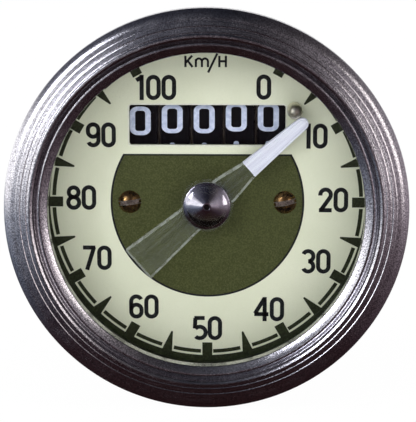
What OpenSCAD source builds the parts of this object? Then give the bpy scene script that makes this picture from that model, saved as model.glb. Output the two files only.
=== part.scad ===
// Round magnetic speedometer for a small motorcycle, with a five-drum distance counter.
// It is modelled lying on its back: the dial faces +Z here, twelve o'clock is +Y, and
// stand() turns it upright, so that the dial faces -Y and twelve o'clock is +Z.
// Height 0 is the back of the bezel, the face that rests on the instrument panel.

/* [Bezel and case] */
// Outside diameter of the bezel
bezel_d = 66; // [65:0.5:70]
// Thickness of the bezel's sheet metal
bezel_sheet = 0.6; // [0.5:0.05:0.8]
// Height of the bezel's crown above the panel
bezel_h = 4.9; // [4.6:0.1:6]
// Diameter of the opening that the bezel leaves over the glass
view_d = 51.6; // [49:0.2:52]
// Width of the bezel's inner lip
lip_w = 2.1; // [1.9:0.1:2.3]
// Width of the valley between the lip and the ridges
valley_w = 0.2; // [0.15:0.05:0.4]
// Width of the bezel's round shoulder
shoulder_w = 1.9; // [1.8:0.1:2.1]
// Height of each of the bezel's three steps
step_h = 0.25; // [0.15:0.05:0.35]
// Outside diameter of the case
case_d = 60; // [60:0.5:61]
// Thickness of the case's sheet steel
case_wall = 0.8; // [0.6:0.1:1]
// Radius of the case's back corner
case_corner_r = 2.4; // [1.5:0.1:3]
// How far the rolled bead that carries the dial stands into the case
bead_in = 1.4; // [1.2:0.1:1.8]

/* [Glass and dial] */
// Thickness of the glass
glass_t = 1.6; // [1.2:0.1:2]
// Thickness of the rubber ring under the glass
gasket_t = 0.7; // [0.5:0.1:1]
// Height of the ring between the dial and the rubber
spacer_h = 5.4; // [5.3:0.1:7]
// Wall of that ring
spacer_wall = 0.9; // [0.7:0.1:1]
// Thickness of the dial plate
dial_t = 0.8; // [0.6:0.1:1]
// Width of the counter's window
window_w = 26; // [24.5:0.1:26.4]
// Height of the counter's window
window_h = 6.7; // [6:0.1:7.2]
// Height of the window's centre above the pointer's axis
window_y = 13; // [12.5:0.1:13.4]
// Distance of each dial screw from the pointer's axis
dial_screw_x = 13; // [12.4:0.1:13.4]
// Radius of a dial screw's thread
dial_screw_r = 1; // [0.8:0.1:1.2]
// Radius of a dial screw's head
dial_head_r = 1.95; // [1.7:0.05:2.2]
// Height of a dial screw's domed head
dial_head_h = 1; // [0.8:0.1:1.2]

/* [Pointer] */
// Length from the axis to the tip
pointer_l = 22; // [21.5:0.1:22.4]
// Length of the tail
tail_l = 15.3; // [12:0.1:16]
// Width of the tail's end
tail_w = 6.5; // [5:0.1:7]
// Width where the pointer passes the axis
waist_w = 4.9; // [4.2:0.1:5]
// Distance from the axis where the taper eases and the white paint begins
white_at = 9.2; // [8:0.1:11]
// Width of the pointer there
white_w = 3.2; // [2.8:0.1:3.6]
// Radius of the rounded tip
tip_r = 1.05; // [0.6:0.05:1.2]
// Thickness of the pointer
pointer_t = 1.2; // [1:0.1:1.4]
// Gap between the dial and the underside of the pointer
pointer_lift = 2.4; // [2.2:0.1:2.6]
// Radius of the bright cap on the pointer's hub
cap_r = 4.05; // [3.6:0.05:4.4]
// Height of that cap
cap_h = 1.7; // [1.4:0.1:1.8]
// How far the pointer's round hub stands out under the cap
hub_rim = 0.35; // [0.2:0.05:0.6]
// Radius of the spindle that carries the pointer
spindle_r = 0.6; // [0.5:0.05:0.8]
// Angle of the stop pin, clockwise from twelve o'clock
pin_angle = 42.7; // [40:0.1:46]
// Distance of the stop pin from the axis
pin_at = 21.3; // [21:0.1:21.6]
// Radius of the stop pin
pin_r = 1.25; // [1:0.05:1.4]

/* [Speed unit] */
// Radius of the magnet
magnet_r = 10.2; // [9.5:0.1:10.4]
// Thickness of the magnet
magnet_t = 4.6; // [4:0.1:5.5]
// Thickness of the speed cup's aluminium
cup_wall = 0.4; // [0.3:0.05:0.6]
// Air gap on each side of the cup
cup_gap = 0.5; // [0.4:0.05:0.7]
// Thickness of the steel keeper's wall
keeper_wall = 0.8; // [0.6:0.1:1.2]
// Turns of the hairspring
hair_turns = 5; // [3:1:6]
// Outside radius of the hairspring
hair_r = 5.4; // [4.8:0.1:5.8]
// Thickness of the hairspring's ribbon
hair_t = 0.18; // [0.14:0.02:0.24]

/* [Counter] */
// Radius of a number drum
drum_r = 10.4; // [10:0.1:10.6]
// Distance from one drum to the next
drum_pitch = 5.4; // [5.2:0.02:5.5]
// Gap between two drums, where the carrier plate stands
drum_gap = 0.6; // [0.5:0.05:0.8]
// Gap between the drums and the dial
drum_clear = 0.5; // [0.4:0.1:1]
// Radius of the drums' shaft
drum_shaft_r = 1.2; // [1:0.1:1.3]
// Size of one tooth of the carry gears, as the gear's module
carry_module = 0.8; // [0.7:0.05:0.8]
// Sheet thickness of the counter's frame
counter_t = 1.2; // [1:0.1:1.5]

/* [Worm gears] */
// Module of the first worm gear, at the drive spindle
first_module = 0.4; // [0.36:0.02:0.4]
// Module of the middle worm gear, between the cross shaft and the upright shaft
mid_module = 0.5; // [0.48:0.02:0.52]
// Module of the last worm gear, at the first drum
last_module = 0.5; // [0.46:0.02:0.5]
// Pitch radius of the middle worm
mid_worm_r = 2.6; // [2.5:0.1:2.8]
// Teeth of the first wheel, on the cross shaft
first_teeth = 20; // [18:1:20]
// Teeth of the second wheel, on the upright shaft
second_teeth = 25; // [24:1:26]
// Teeth of the last wheel, beside the first drum
last_teeth = 20; // [18:1:20]
// Radius of the cross shaft and the upright shaft
slim_r = 0.8; // [0.7:0.05:0.9]

/* [Drive] */
// Radius of the drive spindle at the magnet
drive_r = 2; // [1.8:0.1:2.2]
// Radius of the drive spindle's socket end
socket_r = 3; // [2.6:0.1:3.4]
// Width of the square hole for the cable's end
square_w = 2.7; // [2.5:0.1:3.2]
// Outside radius of the threaded neck
neck_r = 6; // [5.5:0.1:7]
// Length of the threaded neck behind the boss
neck_l = 10; // [8:0.5:12]
// Depth of the groove at the root of the neck's thread
relief_depth = 0.6; // [0.4:0.1:0.8]
// Width of that groove
relief_l = 1; // [0.8:0.1:1.5]
// Radius of the boss behind the case
boss_r = 9; // [8:0.1:10]
// Thickness of the main frame's plate
frame_t = 3; // [2.8:0.1:4]

/* [Fixings] */
// Radius of the studs that hold the bracket
stud_r = 2.5; // [2:0.1:2.5]
// Distance of each stud from the axis
stud_x = 17; // [16.5:0.1:19]
// Width of the clamping bracket
bracket_w = 14; // [12:0.5:14.5]
// Sheet thickness of the bracket
bracket_t = 1.6; // [1.2:0.1:1.7]
// Gap that the bracket leaves for the panel
panel_gap = 2.5; // [1.5:0.1:4]
// Gap between the case and each leg of the bracket
leg_gap = 0.5; // [0.4:0.1:0.8]
// Width of the metal that the bracket leaves round the boss
eye_rim = 3; // [2:0.1:3.4]
// Radius of the lamp holder
lamp_r = 5.2; // [4.5:0.1:5.4]
// Distance of the lamp holder below the axis
lamp_y = 20.4; // [20:0.1:21]
// Wall of the lamp holder
lamp_wall = 0.6; // [0.4:0.1:0.8]
// How far the lamp holder stands into the case from the frame
lamp_in = 5; // [4:0.1:6]
// How far the lamp holder stands out of the case's back
lamp_out = 5; // [4:0.1:6]
// Width of the lamp holder's collar, beyond its wall
collar_w = 1.2; // [0.8:0.1:1.4]
// Thickness of that collar
collar_t = 0.9; // [0.6:0.1:1.2]
// Clearance of a running fit, on the radius
run_gap = 0.05; // [0.03:0.01:0.08]

/* [Hidden] */
$fn = 64;

// Radii of the bezel and the case
bezel_r = bezel_d / 2;
view_r = view_d / 2;
case_r = case_d / 2;
case_in_r = case_r - case_wall;
dial_r = case_in_r - 0.8;
glass_r = case_in_r - 0.5;
spacer_r = dial_r;
spacer_in_r = spacer_r - spacer_wall;

// Heights of the front stack, from the panel face
flange_top = bezel_sheet + case_wall;
glass_top = flange_top;
glass_bottom = glass_top - glass_t;
gasket_bottom = glass_bottom - gasket_t;
dial_top = gasket_bottom - spacer_h;
dial_bottom = dial_top - dial_t;
pointer_bottom = dial_top + pointer_lift;
pointer_top = pointer_bottom + pointer_t;

// The pointer rests against the stop pin
stop_gap = 0.03;
rest_angle = pin_angle + asin((pin_r + tip_r + stop_gap) / pin_at);

// Number drums and their carry gears
DRUMS = 5;
RING_TEETH = 20;
PINION_TEETH = 6;
drum_w = drum_pitch - drum_gap;
drum_y = window_y;
drum_z = dial_bottom - drum_clear - drum_r;
drum_bore = drum_shaft_r + run_gap;
drum_hub_r = drum_shaft_r + 0.9;
ring_r = carry_module * RING_TEETH / 2;
pinion_r = carry_module * PINION_TEETH / 2;
pinion_at = ring_r - pinion_r;
pinion_tip = pinion_r + 0.8 * carry_module;
ring_root = ring_r + 1.05 * carry_module;
web_t = 1.1;
recess_d = (drum_w - web_t) / 2;
journal_r = 1;
plate_t = drum_gap * 0.6;
plate_r = drum_r - 0.5;
last_face = ((DRUMS - 1) * drum_pitch + drum_w) / 2;

// Counter frame: a floor with two ears
floor_top = drum_z - drum_r - 0.6;
floor_bottom = floor_top - counter_t;
left_ear = -(last_face + 1.3);
bridge_t = 1;
bridge_top = dial_bottom - 4.4;
bridge_w = 6.4;
bridge_y = -0.6;
tab_t = counter_t;

// Speed unit, hung under the counter frame
keeper_bottom_of_top = floor_bottom - keeper_wall;
cup_top = keeper_bottom_of_top - cup_gap;
magnet_top = cup_top - cup_wall - cup_gap;
magnet_bottom = magnet_top - magnet_t;
cup_bottom = magnet_bottom - 0.4;
cup_in_r = magnet_r + cup_gap;
cup_r = cup_in_r + cup_wall;
keeper_in_r = cup_r + cup_gap;
keeper_r = keeper_in_r + keeper_wall;

// Worm gears: pitch radii, and the shafts that follow from them
ADDENDUM = 0.8;
DEDENDUM = 1.15;
first_worm_r = drive_r + 0.15 + DEDENDUM * first_module;
last_worm_r = slim_r + 0.25 + DEDENDUM * last_module;
first_r = first_module * first_teeth / 2;
second_r = mid_module * second_teeth / 2;
last_r = last_module * last_teeth / 2;
wheel_t = 1.2;
cross_x = first_worm_r + first_r;
upright_x = cross_x + mid_worm_r + second_r;
upright_y = drum_y - last_r - last_worm_r;
right_ear = upright_x + last_worm_r + ADDENDUM * last_module - 0.3;
cross_z = cup_bottom - 0.6 - first_r - ADDENDUM * first_module;
cross_from = -5;
cross_to = upright_y + 6.4;

// Main frame and the back of the case
frame_top = cross_z - mid_worm_r - ADDENDUM * mid_module - 0.3;
frame_bottom = frame_top - frame_t;
case_back = frame_bottom - case_wall;
frame_r = case_in_r - 2.4;
boss_bottom = case_back - 3.2;
neck_bottom = boss_bottom - neck_l;
neck_seat = boss_bottom + 2;
neck_seat_r = neck_r - relief_depth;
socket_top = boss_bottom + 2.4;
socket_bottom = neck_bottom + 2.2;
spindle_foot = magnet_top - 1.9;
drive_top = magnet_top - 0.3;

// Fixings
pillar_r = 2.2;
PILLARS = [[right_ear + counter_t + 1.4, -8], [left_ear - counter_t - 1.4, -8], [-3, drum_y + 9.4]];
CASE_SCREWS = [[12, 18.4], [-12, 18.4]];
bracket_top = case_back;
bracket_bottom = bracket_top - bracket_t;
leg_x = case_r + leg_gap;
lamp_floor = 2;
washer_t = 1;
nut_t = 4;
nut_flats = 8;

// Turns the model upright
module stand() {
    rotate([90, 0, 0]) children();
}

// A ring or disc between two heights
module ring(outer, inner, bottom, top) {
    translate([0, 0, bottom])
        difference() {
            cylinder(h = top - bottom, r = outer);
            if (inner > 0)
                translate([0, 0, -1]) cylinder(h = top - bottom + 2, r = inner);
        }
}

// A cylinder along X between two places
module along_x(r, from, to) {
    translate([from, 0, 0]) rotate([0, 90, 0]) cylinder(h = to - from, r = r);
}

// A cylinder along Y between two places
module along_y(r, from, to) {
    translate([0, from, 0]) rotate([-90, 0, 0]) cylinder(h = to - from, r = r);
}

// A place on the dial, at a radius and a clockwise angle from twelve o'clock
function dial_point(r, angle) = [r * sin(angle), r * cos(angle), 0];

// Points along an arc, in radius and height
function arc(cx, cz, rx, rz, from, to, steps) =
    [for (i = [0 : steps]) let (a = from + (to - from) * i / steps) [cx + rx * cos(a), cz + rz * sin(a)]];

// Outline of a straight-flanked gear with teeth outwards, or inwards for a negative size
function gear_points(teeth, module_size, reach = 1) =
    let (r = module_size * teeth / 2, step = 360 / teeth, s = sign(reach),
        tip = r + s * ADDENDUM * abs(module_size), root = r - s * DEDENDUM * abs(module_size))
    [for (i = [0 : teeth - 1], k = [0 : 3])
        let (a = i * step + step * [-0.33, -0.13, 0.13, 0.33][k], q = (k == 0 || k == 3) ? root : tip)
        [q * cos(a), q * sin(a)]];

// A gear wheel around Z, centred on height 0, with a gap between two teeth at one angle
module gear(teeth, module_size, thickness, gap_at) {
    translate([0, 0, -thickness / 2])
        linear_extrude(height = thickness)
            rotate(gap_at + 180 / teeth) polygon(gear_points(teeth, module_size));
}

// One turn of a worm's section: a core with the thread standing out of it on one side
function worm_points(pitch_r, module_size) =
    let (core = pitch_r - DEDENDUM * module_size, crest = pitch_r + ADDENDUM * module_size,
        spots = [[-150, 0], [-120, 0], [-90, 0], [-62, 0], [-26, 1], [0, 1], [26, 1], [62, 0], [90, 0],
            [120, 0], [150, 0], [180, 0]])
    [for (s = spots) let (q = s[1] == 1 ? crest : core) [q * cos(s[0]), q * sin(s[0])]];

// A single-start worm around Z, with its thread at one angle at height 0; hand 1 is right-handed
module worm(pitch_r, module_size, turns, hand, phase) {
    lead = PI * module_size;
    translate([0, 0, -lead * turns / 2])
        rotate([0, 0, phase - hand * 180 * turns])
            linear_extrude(height = lead * turns, twist = -hand * 360 * turns, slices = 16 * turns, $fn = 0)
                polygon(worm_points(pitch_r, module_size));
}

// Bezel: rolled sheet with a round shoulder, three steps that rise inwards and an inner lip
module bezel() {
    lip_r = view_r + lip_w;
    band_r = lip_r + valley_w;
    step_w = (bezel_r - shoulder_w - band_r) / 3;
    crown = bezel_h;
    shoulder_top = crown - 3 * step_h;
    shoulder = arc(bezel_r - shoulder_w, shoulder_top - 1.7, shoulder_w, 1.7, 0, 90, 10);
    steps = [for (i = [0 : 2], p = [[0.08, 0.75], [0.2, 1], [0.92, 1]])
        [bezel_r - shoulder_w - step_w * (i + p[0]), shoulder_top + step_h * (i + p[1])]];
    valley = [[band_r, crown - 0.3], [band_r - 0.05, crown - 1.3], [(band_r + lip_r) / 2, crown - 1.6]];
    lip = arc(lip_r - 0.95, crown - 1.75, 0.9, 0.75, 20, 115, 7);
    wall = [[view_r + 0.5, crown - 1.3], [view_r + 0.3, crown - 1.8], [view_r + 0.1, crown - 2.5],
        [view_r, glass_top + 0.25], [view_r, glass_top]];
    inside = [[view_r + 1, glass_top], [lip_r - 0.1, crown - 2.5], [band_r, crown - 2.6],
        [bezel_r - 2.2, crown - 1.6], [bezel_r - 1.4, crown - 1.7], [bezel_r - bezel_sheet, crown - 2.6]];
    hem = [[bezel_r - bezel_sheet, bezel_sheet], [case_r + 0.9, bezel_sheet], [case_r + 0.9, 0],
        [bezel_r - 0.6, 0], [bezel_r - 0.18, 0.18], [bezel_r, 0.6]];
    color("silver") stand()
        rotate_extrude() polygon(concat(shoulder, steps, valley, lip, wall, inside, hem));
}

module glass() {
    color([0.85, 0.92, 0.92, 0.3]) stand() ring(glass_r, 0, glass_bottom, glass_top);
}

// Rubber ring between the glass and the spacer
module glass_gasket() {
    color("dimgray") stand() ring(glass_r, spacer_in_r - 0.1, gasket_bottom, glass_bottom);
}

// Ring that holds the dial down and the glass up
module spacer_ring() {
    color("darkolivegreen") stand() ring(spacer_r, spacer_in_r, dial_top, gasket_bottom);
}

// Round plate with the counter's window and holes for its two screws, pin and spindle
module dial() {
    corner = 0.4;
    color("beige") stand()
        difference() {
            ring(dial_r, spindle_r + 1.1, dial_bottom, dial_top);
            translate([0, window_y, dial_bottom - 1])
                linear_extrude(height = dial_t + 2) {
                    square([window_w - 2 * corner, window_h], center = true);
                    square([window_w, window_h - 2 * corner], center = true);
                    for (x = [-1, 1], y = [-1, 1])
                        translate([x * (window_w / 2 - corner), y * (window_h / 2 - corner)]) circle(r = corner);
                }
            for (x = [-1, 1])
                translate([x * dial_screw_x, 0, dial_bottom - 1]) cylinder(h = dial_t + 2, r = dial_screw_r);
            translate(dial_point(pin_at, pin_angle))
                translate([0, 0, dial_bottom - 1]) cylinder(h = dial_t + 2, r = pin_r * 0.6);
        }
}

// Two slotted screws with domed heads
module dial_screws() {
    dome_r = (dial_head_r * dial_head_r + dial_head_h * dial_head_h) / (2 * dial_head_h);
    color("peru") stand()
        for (x = [-1, 1])
            translate([x * dial_screw_x, 0, 0]) {
                ring(dial_screw_r, 0, dial_bottom - tab_t, dial_top + 0.1);
                translate([0, 0, dial_top])
                    difference() {
                        intersection() {
                            cylinder(h = dial_head_h, r = dial_head_r);
                            translate([0, 0, dial_head_h - dome_r]) sphere(r = dome_r);
                        }
                        rotate([0, 0, x > 0 ? 11 : 7])
                            translate([-dial_head_r - 1, -0.25, dial_head_h * 0.45]) cube([2 * dial_head_r + 2, 0.5, 2]);
                    }
            }
}

// Round-headed pin that the pointer comes to rest against
module stop_pin() {
    stem = pointer_top - pin_r * 0.4;
    color("silver") stand() translate(dial_point(pin_at, pin_angle)) {
        ring(pin_r * 0.6, 0, dial_bottom - 0.4, dial_top + 0.1);
        ring(pin_r, 0, dial_top, stem);
        translate([0, 0, stem]) intersection() {
            sphere(r = pin_r);
            ring(pin_r + 1, 0, 0, pin_r);
        }
    }
}

// Flat outline of the pointer along +Y, its bore left out
module pointer_outline() {
    corner = 0.3;
    square_end = -tail_l + corner;
    half = [[tip_r, pointer_l - tip_r], [white_w / 2, white_at], [waist_w / 2, cap_r],
        [waist_w / 2, -cap_r], [tail_w / 2, square_end], [tail_w / 2 - corner, -tail_l]];
    polygon(concat([for (p = half) [-p[0], p[1]]], [for (i = [len(half) - 1 : -1 : 0]) half[i]]));
    translate([0, pointer_l - tip_r]) circle(r = tip_r);
}

module pointer() {
    color([0.9, 0.93, 0.95, 0.5]) stand()
        rotate([0, 0, -rest_angle])
            difference() {
                translate([0, 0, pointer_bottom]) linear_extrude(height = pointer_t) {
                    pointer_outline();
                    circle(r = cap_r + hub_rim);
                }
                ring(spindle_r + 0.5, 0, pointer_bottom - 1, pointer_top + 1);
            }
}

// Bright spun cap over the pointer's hub
module hub_cap() {
    top = pointer_top + cap_h;
    color("gainsboro") stand()
        rotate_extrude() polygon(concat([[spindle_r, pointer_top], [cap_r, pointer_top]],
            arc(cap_r - 0.5, pointer_top + 0.4, 0.5, 0.4, 0, 72, 5),
            [[spindle_r + 0.15, top], [spindle_r, top - 0.2]]));
}

// Brass bush that grips the spindle and carries the pointer
module pointer_bush() {
    color("goldenrod") stand() {
        ring(spindle_r + 0.5, spindle_r, pointer_bottom - 1.2, pointer_top);
        ring(spindle_r + 1.2, spindle_r, pointer_bottom - 0.5, pointer_bottom);
    }
}

module pointer_spindle() {
    color("lightsteelblue") stand() {
        ring(spindle_r, 0, cup_top - cup_wall - 0.4, pointer_top + cap_h - 0.5);
        ring(spindle_r * 0.6, 0, spindle_foot, cup_top);
    }
}

// Thin aluminium cup that the turning magnet drags round
module speed_cup() {
    color("lightgray") stand() {
        ring(cup_r, cup_in_r, cup_bottom, cup_top);
        ring(cup_in_r + 0.1, spindle_r, cup_top - cup_wall, cup_top);
    }
}

module spring_collet() {
    color("goldenrod") stand() ring(spindle_r + 0.8, spindle_r, bridge_top + 1.2, bridge_top + 3);
}

// Flat spiral, from the collet out to the regulator's post
module hairspring() {
    inner_r = spindle_r + 0.8;
    steps = hair_turns * 24;
    span = hair_turns * 360;
    function spiral(i, side) =
        let (a = 180 - span + span * i / steps, q = inner_r + (hair_r - inner_r) * i / steps + side * hair_t / 2)
        [q * cos(a), q * sin(a)];
    color("steelblue") stand()
        difference() {
            translate([0, 0, bridge_top + 1.7])
                linear_extrude(height = 0.8)
                    polygon(concat([for (i = [0 : steps]) spiral(i, 1)], [for (i = [steps : -1 : 0]) spiral(i, -1)]));
            ring(inner_r, 0, bridge_top, dial_bottom);
        }
}

// Ring and arm on the bridge, with the post that holds the hairspring's outer end
module regulator() {
    post = 1.2;
    color("silver") stand() {
        ring(2.9, 1.7, bridge_top, bridge_top + 0.5);
        translate([-hair_r - post, -0.6, bridge_top]) cube([hair_r + post - 2.3, 1.2, 0.5]);
        translate([-hair_r - post, -0.6, bridge_top]) cube([post - 0.1, 1.2, 3]);
    }
}

// Brass bar across the counter frame, which carries the spindle's upper bush
module top_bridge() {
    color("khaki") stand()
        difference() {
            union() {
                translate([left_ear, bridge_y - bridge_w / 2, bridge_top - bridge_t])
                    cube([right_ear - left_ear, bridge_w, bridge_t]);
                translate([left_ear - counter_t, bridge_y - bridge_w / 4, bridge_top - bridge_t])
                    cube([right_ear - left_ear + 2 * counter_t, bridge_w / 2, bridge_t]);
            }
            ring(1.5, 0, bridge_top - 3, bridge_top + 1);
        }
}

module bridge_bush() {
    color("goldenrod") stand() {
        ring(1.5, spindle_r + run_gap, bridge_top - bridge_t - 0.8, bridge_top);
        ring(2, spindle_r + run_gap, bridge_top - bridge_t - 0.8, bridge_top - bridge_t);
        ring(1.6, spindle_r + run_gap, bridge_top, bridge_top + 0.4);
    }
}

// Folded steel frame of the counter: a floor, two ears, and tabs that take the dial screws
module counter_frame() {
    ear_low = -4.5;
    ear_high = drum_y + 7.2;
    ear_h = dial_bottom - floor_bottom;
    width = right_ear - left_ear + 2 * counter_t;
    color("lightslategray") stand()
        difference() {
            union() {
                translate([left_ear - counter_t, -10, floor_bottom]) cube([width, ear_high + 10, counter_t]);
                for (p = PILLARS)
                    translate([p[0], p[1], 0]) ring(pillar_r + 1.4, 0, floor_bottom, floor_top);
                for (x = [left_ear - counter_t, right_ear])
                    translate([x, ear_low, floor_bottom]) cube([counter_t, ear_high - ear_low, ear_h]);
                translate([left_ear - counter_t, ear_low, dial_bottom - tab_t])
                    cube([-dial_screw_x + 2.4 - left_ear + counter_t, 7, tab_t]);
                translate([dial_screw_x - 2.4, ear_low, dial_bottom - tab_t])
                    cube([right_ear - dial_screw_x + 2.4 + counter_t, 7, tab_t]);
                translate([upright_x - 1.8, upright_y - 1.8, bridge_top - bridge_t - 1.6])
                    cube([right_ear - upright_x + 2, 3.6, 1.2]);
            }
            for (x = [-1, 1])
                translate([x * dial_screw_x, 0, 0]) ring(dial_screw_r, 0, dial_bottom - 3, dial_top);
            ring(4, 0, floor_bottom - 1, floor_top + 1);
            for (p = PILLARS)
                translate([p[0], p[1], 0]) ring(1.2, 0, floor_bottom - 1, floor_top + 1);
            translate([0, drum_y, drum_z]) {
                along_x(drum_shaft_r, left_ear - 5, right_ear + 5);
                for (i = [0 : DRUMS - 2])
                    translate([(i - (DRUMS - 2) / 2) * drum_pitch - plate_t / 2 - 0.05, -1.6, -drum_r - 4])
                        cube([plate_t + 0.1, 3.2, 5]);
            }
            for (x = [left_ear - counter_t - 1, right_ear - 1])
                translate([x, bridge_y - bridge_w / 4, bridge_top - bridge_t]) cube([counter_t + 2, bridge_w / 2, bridge_t]);
            translate([upright_x, upright_y, 0]) ring(slim_r + run_gap, 0, floor_bottom - 2, bridge_top);
            translate([right_ear - 1, upright_y - 3, drum_z - 4.4]) cube([counter_t + 2, 6, 8.8]);
            translate([left_ear - counter_t - 1, 7, floor_top + 2.4]) cube([counter_t + 2, 9, 4.4]);
        }
}

// Three turned pillars between the main frame and the counter frame
module frame_pillars() {
    color("silver") stand()
        for (p = PILLARS)
            translate([p[0], p[1], 0]) {
                ring(pillar_r, 0, frame_top, floor_bottom);
                ring(1.2, 0, frame_top - 2, floor_top);
            }
}

// Screw heads over the pillars' ends
module pillar_screws() {
    color("tan") stand()
        for (p = PILLARS)
            translate([p[0], p[1], 0])
                difference() {
                    ring(2.1, 0, floor_top, floor_top + 1.2);
                    translate([-3, -0.25, floor_top + 0.6]) cube([6, 0.5, 2]);
                }
}

// Steel cup outside the speed cup, fixed under the counter frame
module keeper_cup() {
    color("gray") stand() {
        ring(keeper_r, keeper_in_r, cup_bottom, floor_bottom);
        ring(keeper_in_r + 0.1, 4, keeper_bottom_of_top, floor_bottom);
    }
}

module magnet() {
    color("slategray") stand() ring(magnet_r, drive_r, magnet_bottom, magnet_top);
}

// Spindle that the cable turns: pivot hole, first worm and square socket
module drive_spindle() {
    color("lightsteelblue") stand()
        difference() {
            union() {
                ring(drive_r, 0, socket_top, drive_top);
                ring(3.4, 0, magnet_bottom - 0.5, magnet_bottom);
                translate([0, 0, cross_z]) worm(first_worm_r, first_module, 4, 1, 0);
                ring(socket_r, 0, socket_bottom, socket_top);
            }
            ring(spindle_r * 0.6 + run_gap, 0, spindle_foot - 0.4, drive_top + 1);
            translate([-square_w / 2, -square_w / 2, socket_bottom - 1]) cube([square_w, square_w, 8]);
        }
}

// First cross shaft, with the worm that turns the upright shaft
module cross_shaft() {
    color("lightsteelblue") stand() translate([cross_x, 0, cross_z]) {
        along_y(slim_r, cross_from, cross_to);
        translate([0, upright_y, 0]) rotate([-90, 0, 0]) worm(mid_worm_r, mid_module, 3, 1, 0);
    }
}

module cross_wheel() {
    color("goldenrod") stand() translate([cross_x, 0, cross_z]) rotate([-90, 0, 0])
        difference() {
            union() {
                gear(first_teeth, first_module, wheel_t, 180);
                ring(1.9, 0, -1.3, wheel_t / 2);
            }
            ring(slim_r, 0, -3, 3);
        }
}

// Upright shaft, with the worm that turns the first drum
module upright_shaft() {
    color("lightsteelblue") stand() translate([upright_x, upright_y, 0]) {
        ring(slim_r, 0, frame_top - 1.6, bridge_top - bridge_t - 0.2);
        translate([0, 0, drum_z]) worm(last_worm_r, last_module, 3, -1, 90);
    }
}

module upright_wheel() {
    color("goldenrod") stand() translate([upright_x, upright_y, cross_z])
        difference() {
            union() {
                gear(second_teeth, mid_module, wheel_t, 180);
                ring(2, 0, -1.6, wheel_t / 2);
            }
            ring(slim_r, 0, -3, 3);
        }
}

// Wheel on the first drum's hub
module drum_gear() {
    color("ivory") stand() translate([upright_x, drum_y, drum_z]) rotate([0, 90, 0])
        difference() {
            union() {
                gear(last_teeth, last_module, wheel_t, 270);
                ring(drum_hub_r, 0, last_face - upright_x, right_ear - upright_x - 0.1);
            }
            ring(drum_bore, 0, -10, 10);
        }
}

// A number drum: the first on the right is turned by the wheel, each next one by its pinion
module drum(index) {
    centre = ((DRUMS - 1) / 2 - (index - 1)) * drum_pitch;
    has_ring = index > 1;
    has_carry = index < DRUMS;
    carry_step = 360 / RING_TEETH;
    color("black") stand() translate([centre, drum_y, drum_z]) rotate([0, 90, 0])
        difference() {
            ring(drum_r, drum_bore, -drum_w / 2, drum_w / 2);
            if (has_ring)
                translate([0, 0, drum_w / 2 - recess_d])
                    linear_extrude(height = recess_d + 1)
                        difference() {
                            rotate(carry_step / 2) polygon(gear_points(RING_TEETH, carry_module, -1));
                            circle(r = drum_hub_r);
                        }
            if (has_carry)
                translate([0, 0, -drum_w / 2 - 1])
                    linear_extrude(height = recess_d + 1)
                        difference() {
                            circle(r = ring_root);
                            circle(r = drum_hub_r);
                            for (i = [0, 1])
                                rotate(60 + i * carry_step)
                                    polygon([[ring_root + 0.3, -0.8], [ring_r - 0.5, -0.35],
                                        [ring_r - 0.5, 0.35], [ring_root + 0.3, 0.8]]);
                        }
        }
}

// Six-toothed pinion that hands the carry on, with its journal in the carrier plate
module carry_pinion(index) {
    centre = ((DRUMS - 1) / 2 - (index - 0.5)) * drum_pitch;
    reach = drum_gap / 2 + recess_d - 0.2;
    color("wheat") stand() translate([centre, drum_y, drum_z - pinion_at]) rotate([0, 90, 0]) {
        for (side = [-1, 1])
            translate([0, 0, side * (reach + plate_t / 2 + 0.06) / 2])
                gear(PINION_TEETH, carry_module, reach - plate_t / 2 - 0.06, 180 / PINION_TEETH);
        ring(journal_r, 0, -1, 1);
    }
}

// Thin plates between the drums, each with a tab in the frame's floor
module carrier_plates() {
    color("saddlebrown") stand() translate([0, drum_y, drum_z])
        for (i = [0 : DRUMS - 2])
            translate([(i - (DRUMS - 2) / 2) * drum_pitch, 0, 0])
                difference() {
                    union() {
                        along_x(plate_r, -plate_t / 2, plate_t / 2);
                        translate([-plate_t / 2, -1.5, floor_bottom + 0.2 - drum_z]) cube([plate_t, 3, drum_r]);
                    }
                    along_x(drum_shaft_r + 0.1, -1, 1);
                    translate([0, 0, -pinion_at]) along_x(journal_r + run_gap, -1, 1);
                }
}

module drum_shaft() {
    color("silver") stand() translate([0, drum_y, drum_z]) {
        along_x(drum_shaft_r, left_ear - counter_t, right_ear + counter_t);
        along_x(drum_shaft_r + 0.7, left_ear - counter_t - 0.6, left_ear - counter_t);
        along_x(drum_shaft_r + 0.7, right_ear + counter_t, right_ear + counter_t + 0.6);
    }
}

// Washer between the last drum and the left ear
module drum_washer() {
    color("silver") stand() translate([0, drum_y, drum_z])
        difference() {
            along_x(drum_hub_r, left_ear, -last_face - 0.1);
            along_x(drum_shaft_r, left_ear - 1, 0);
        }
}

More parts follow.
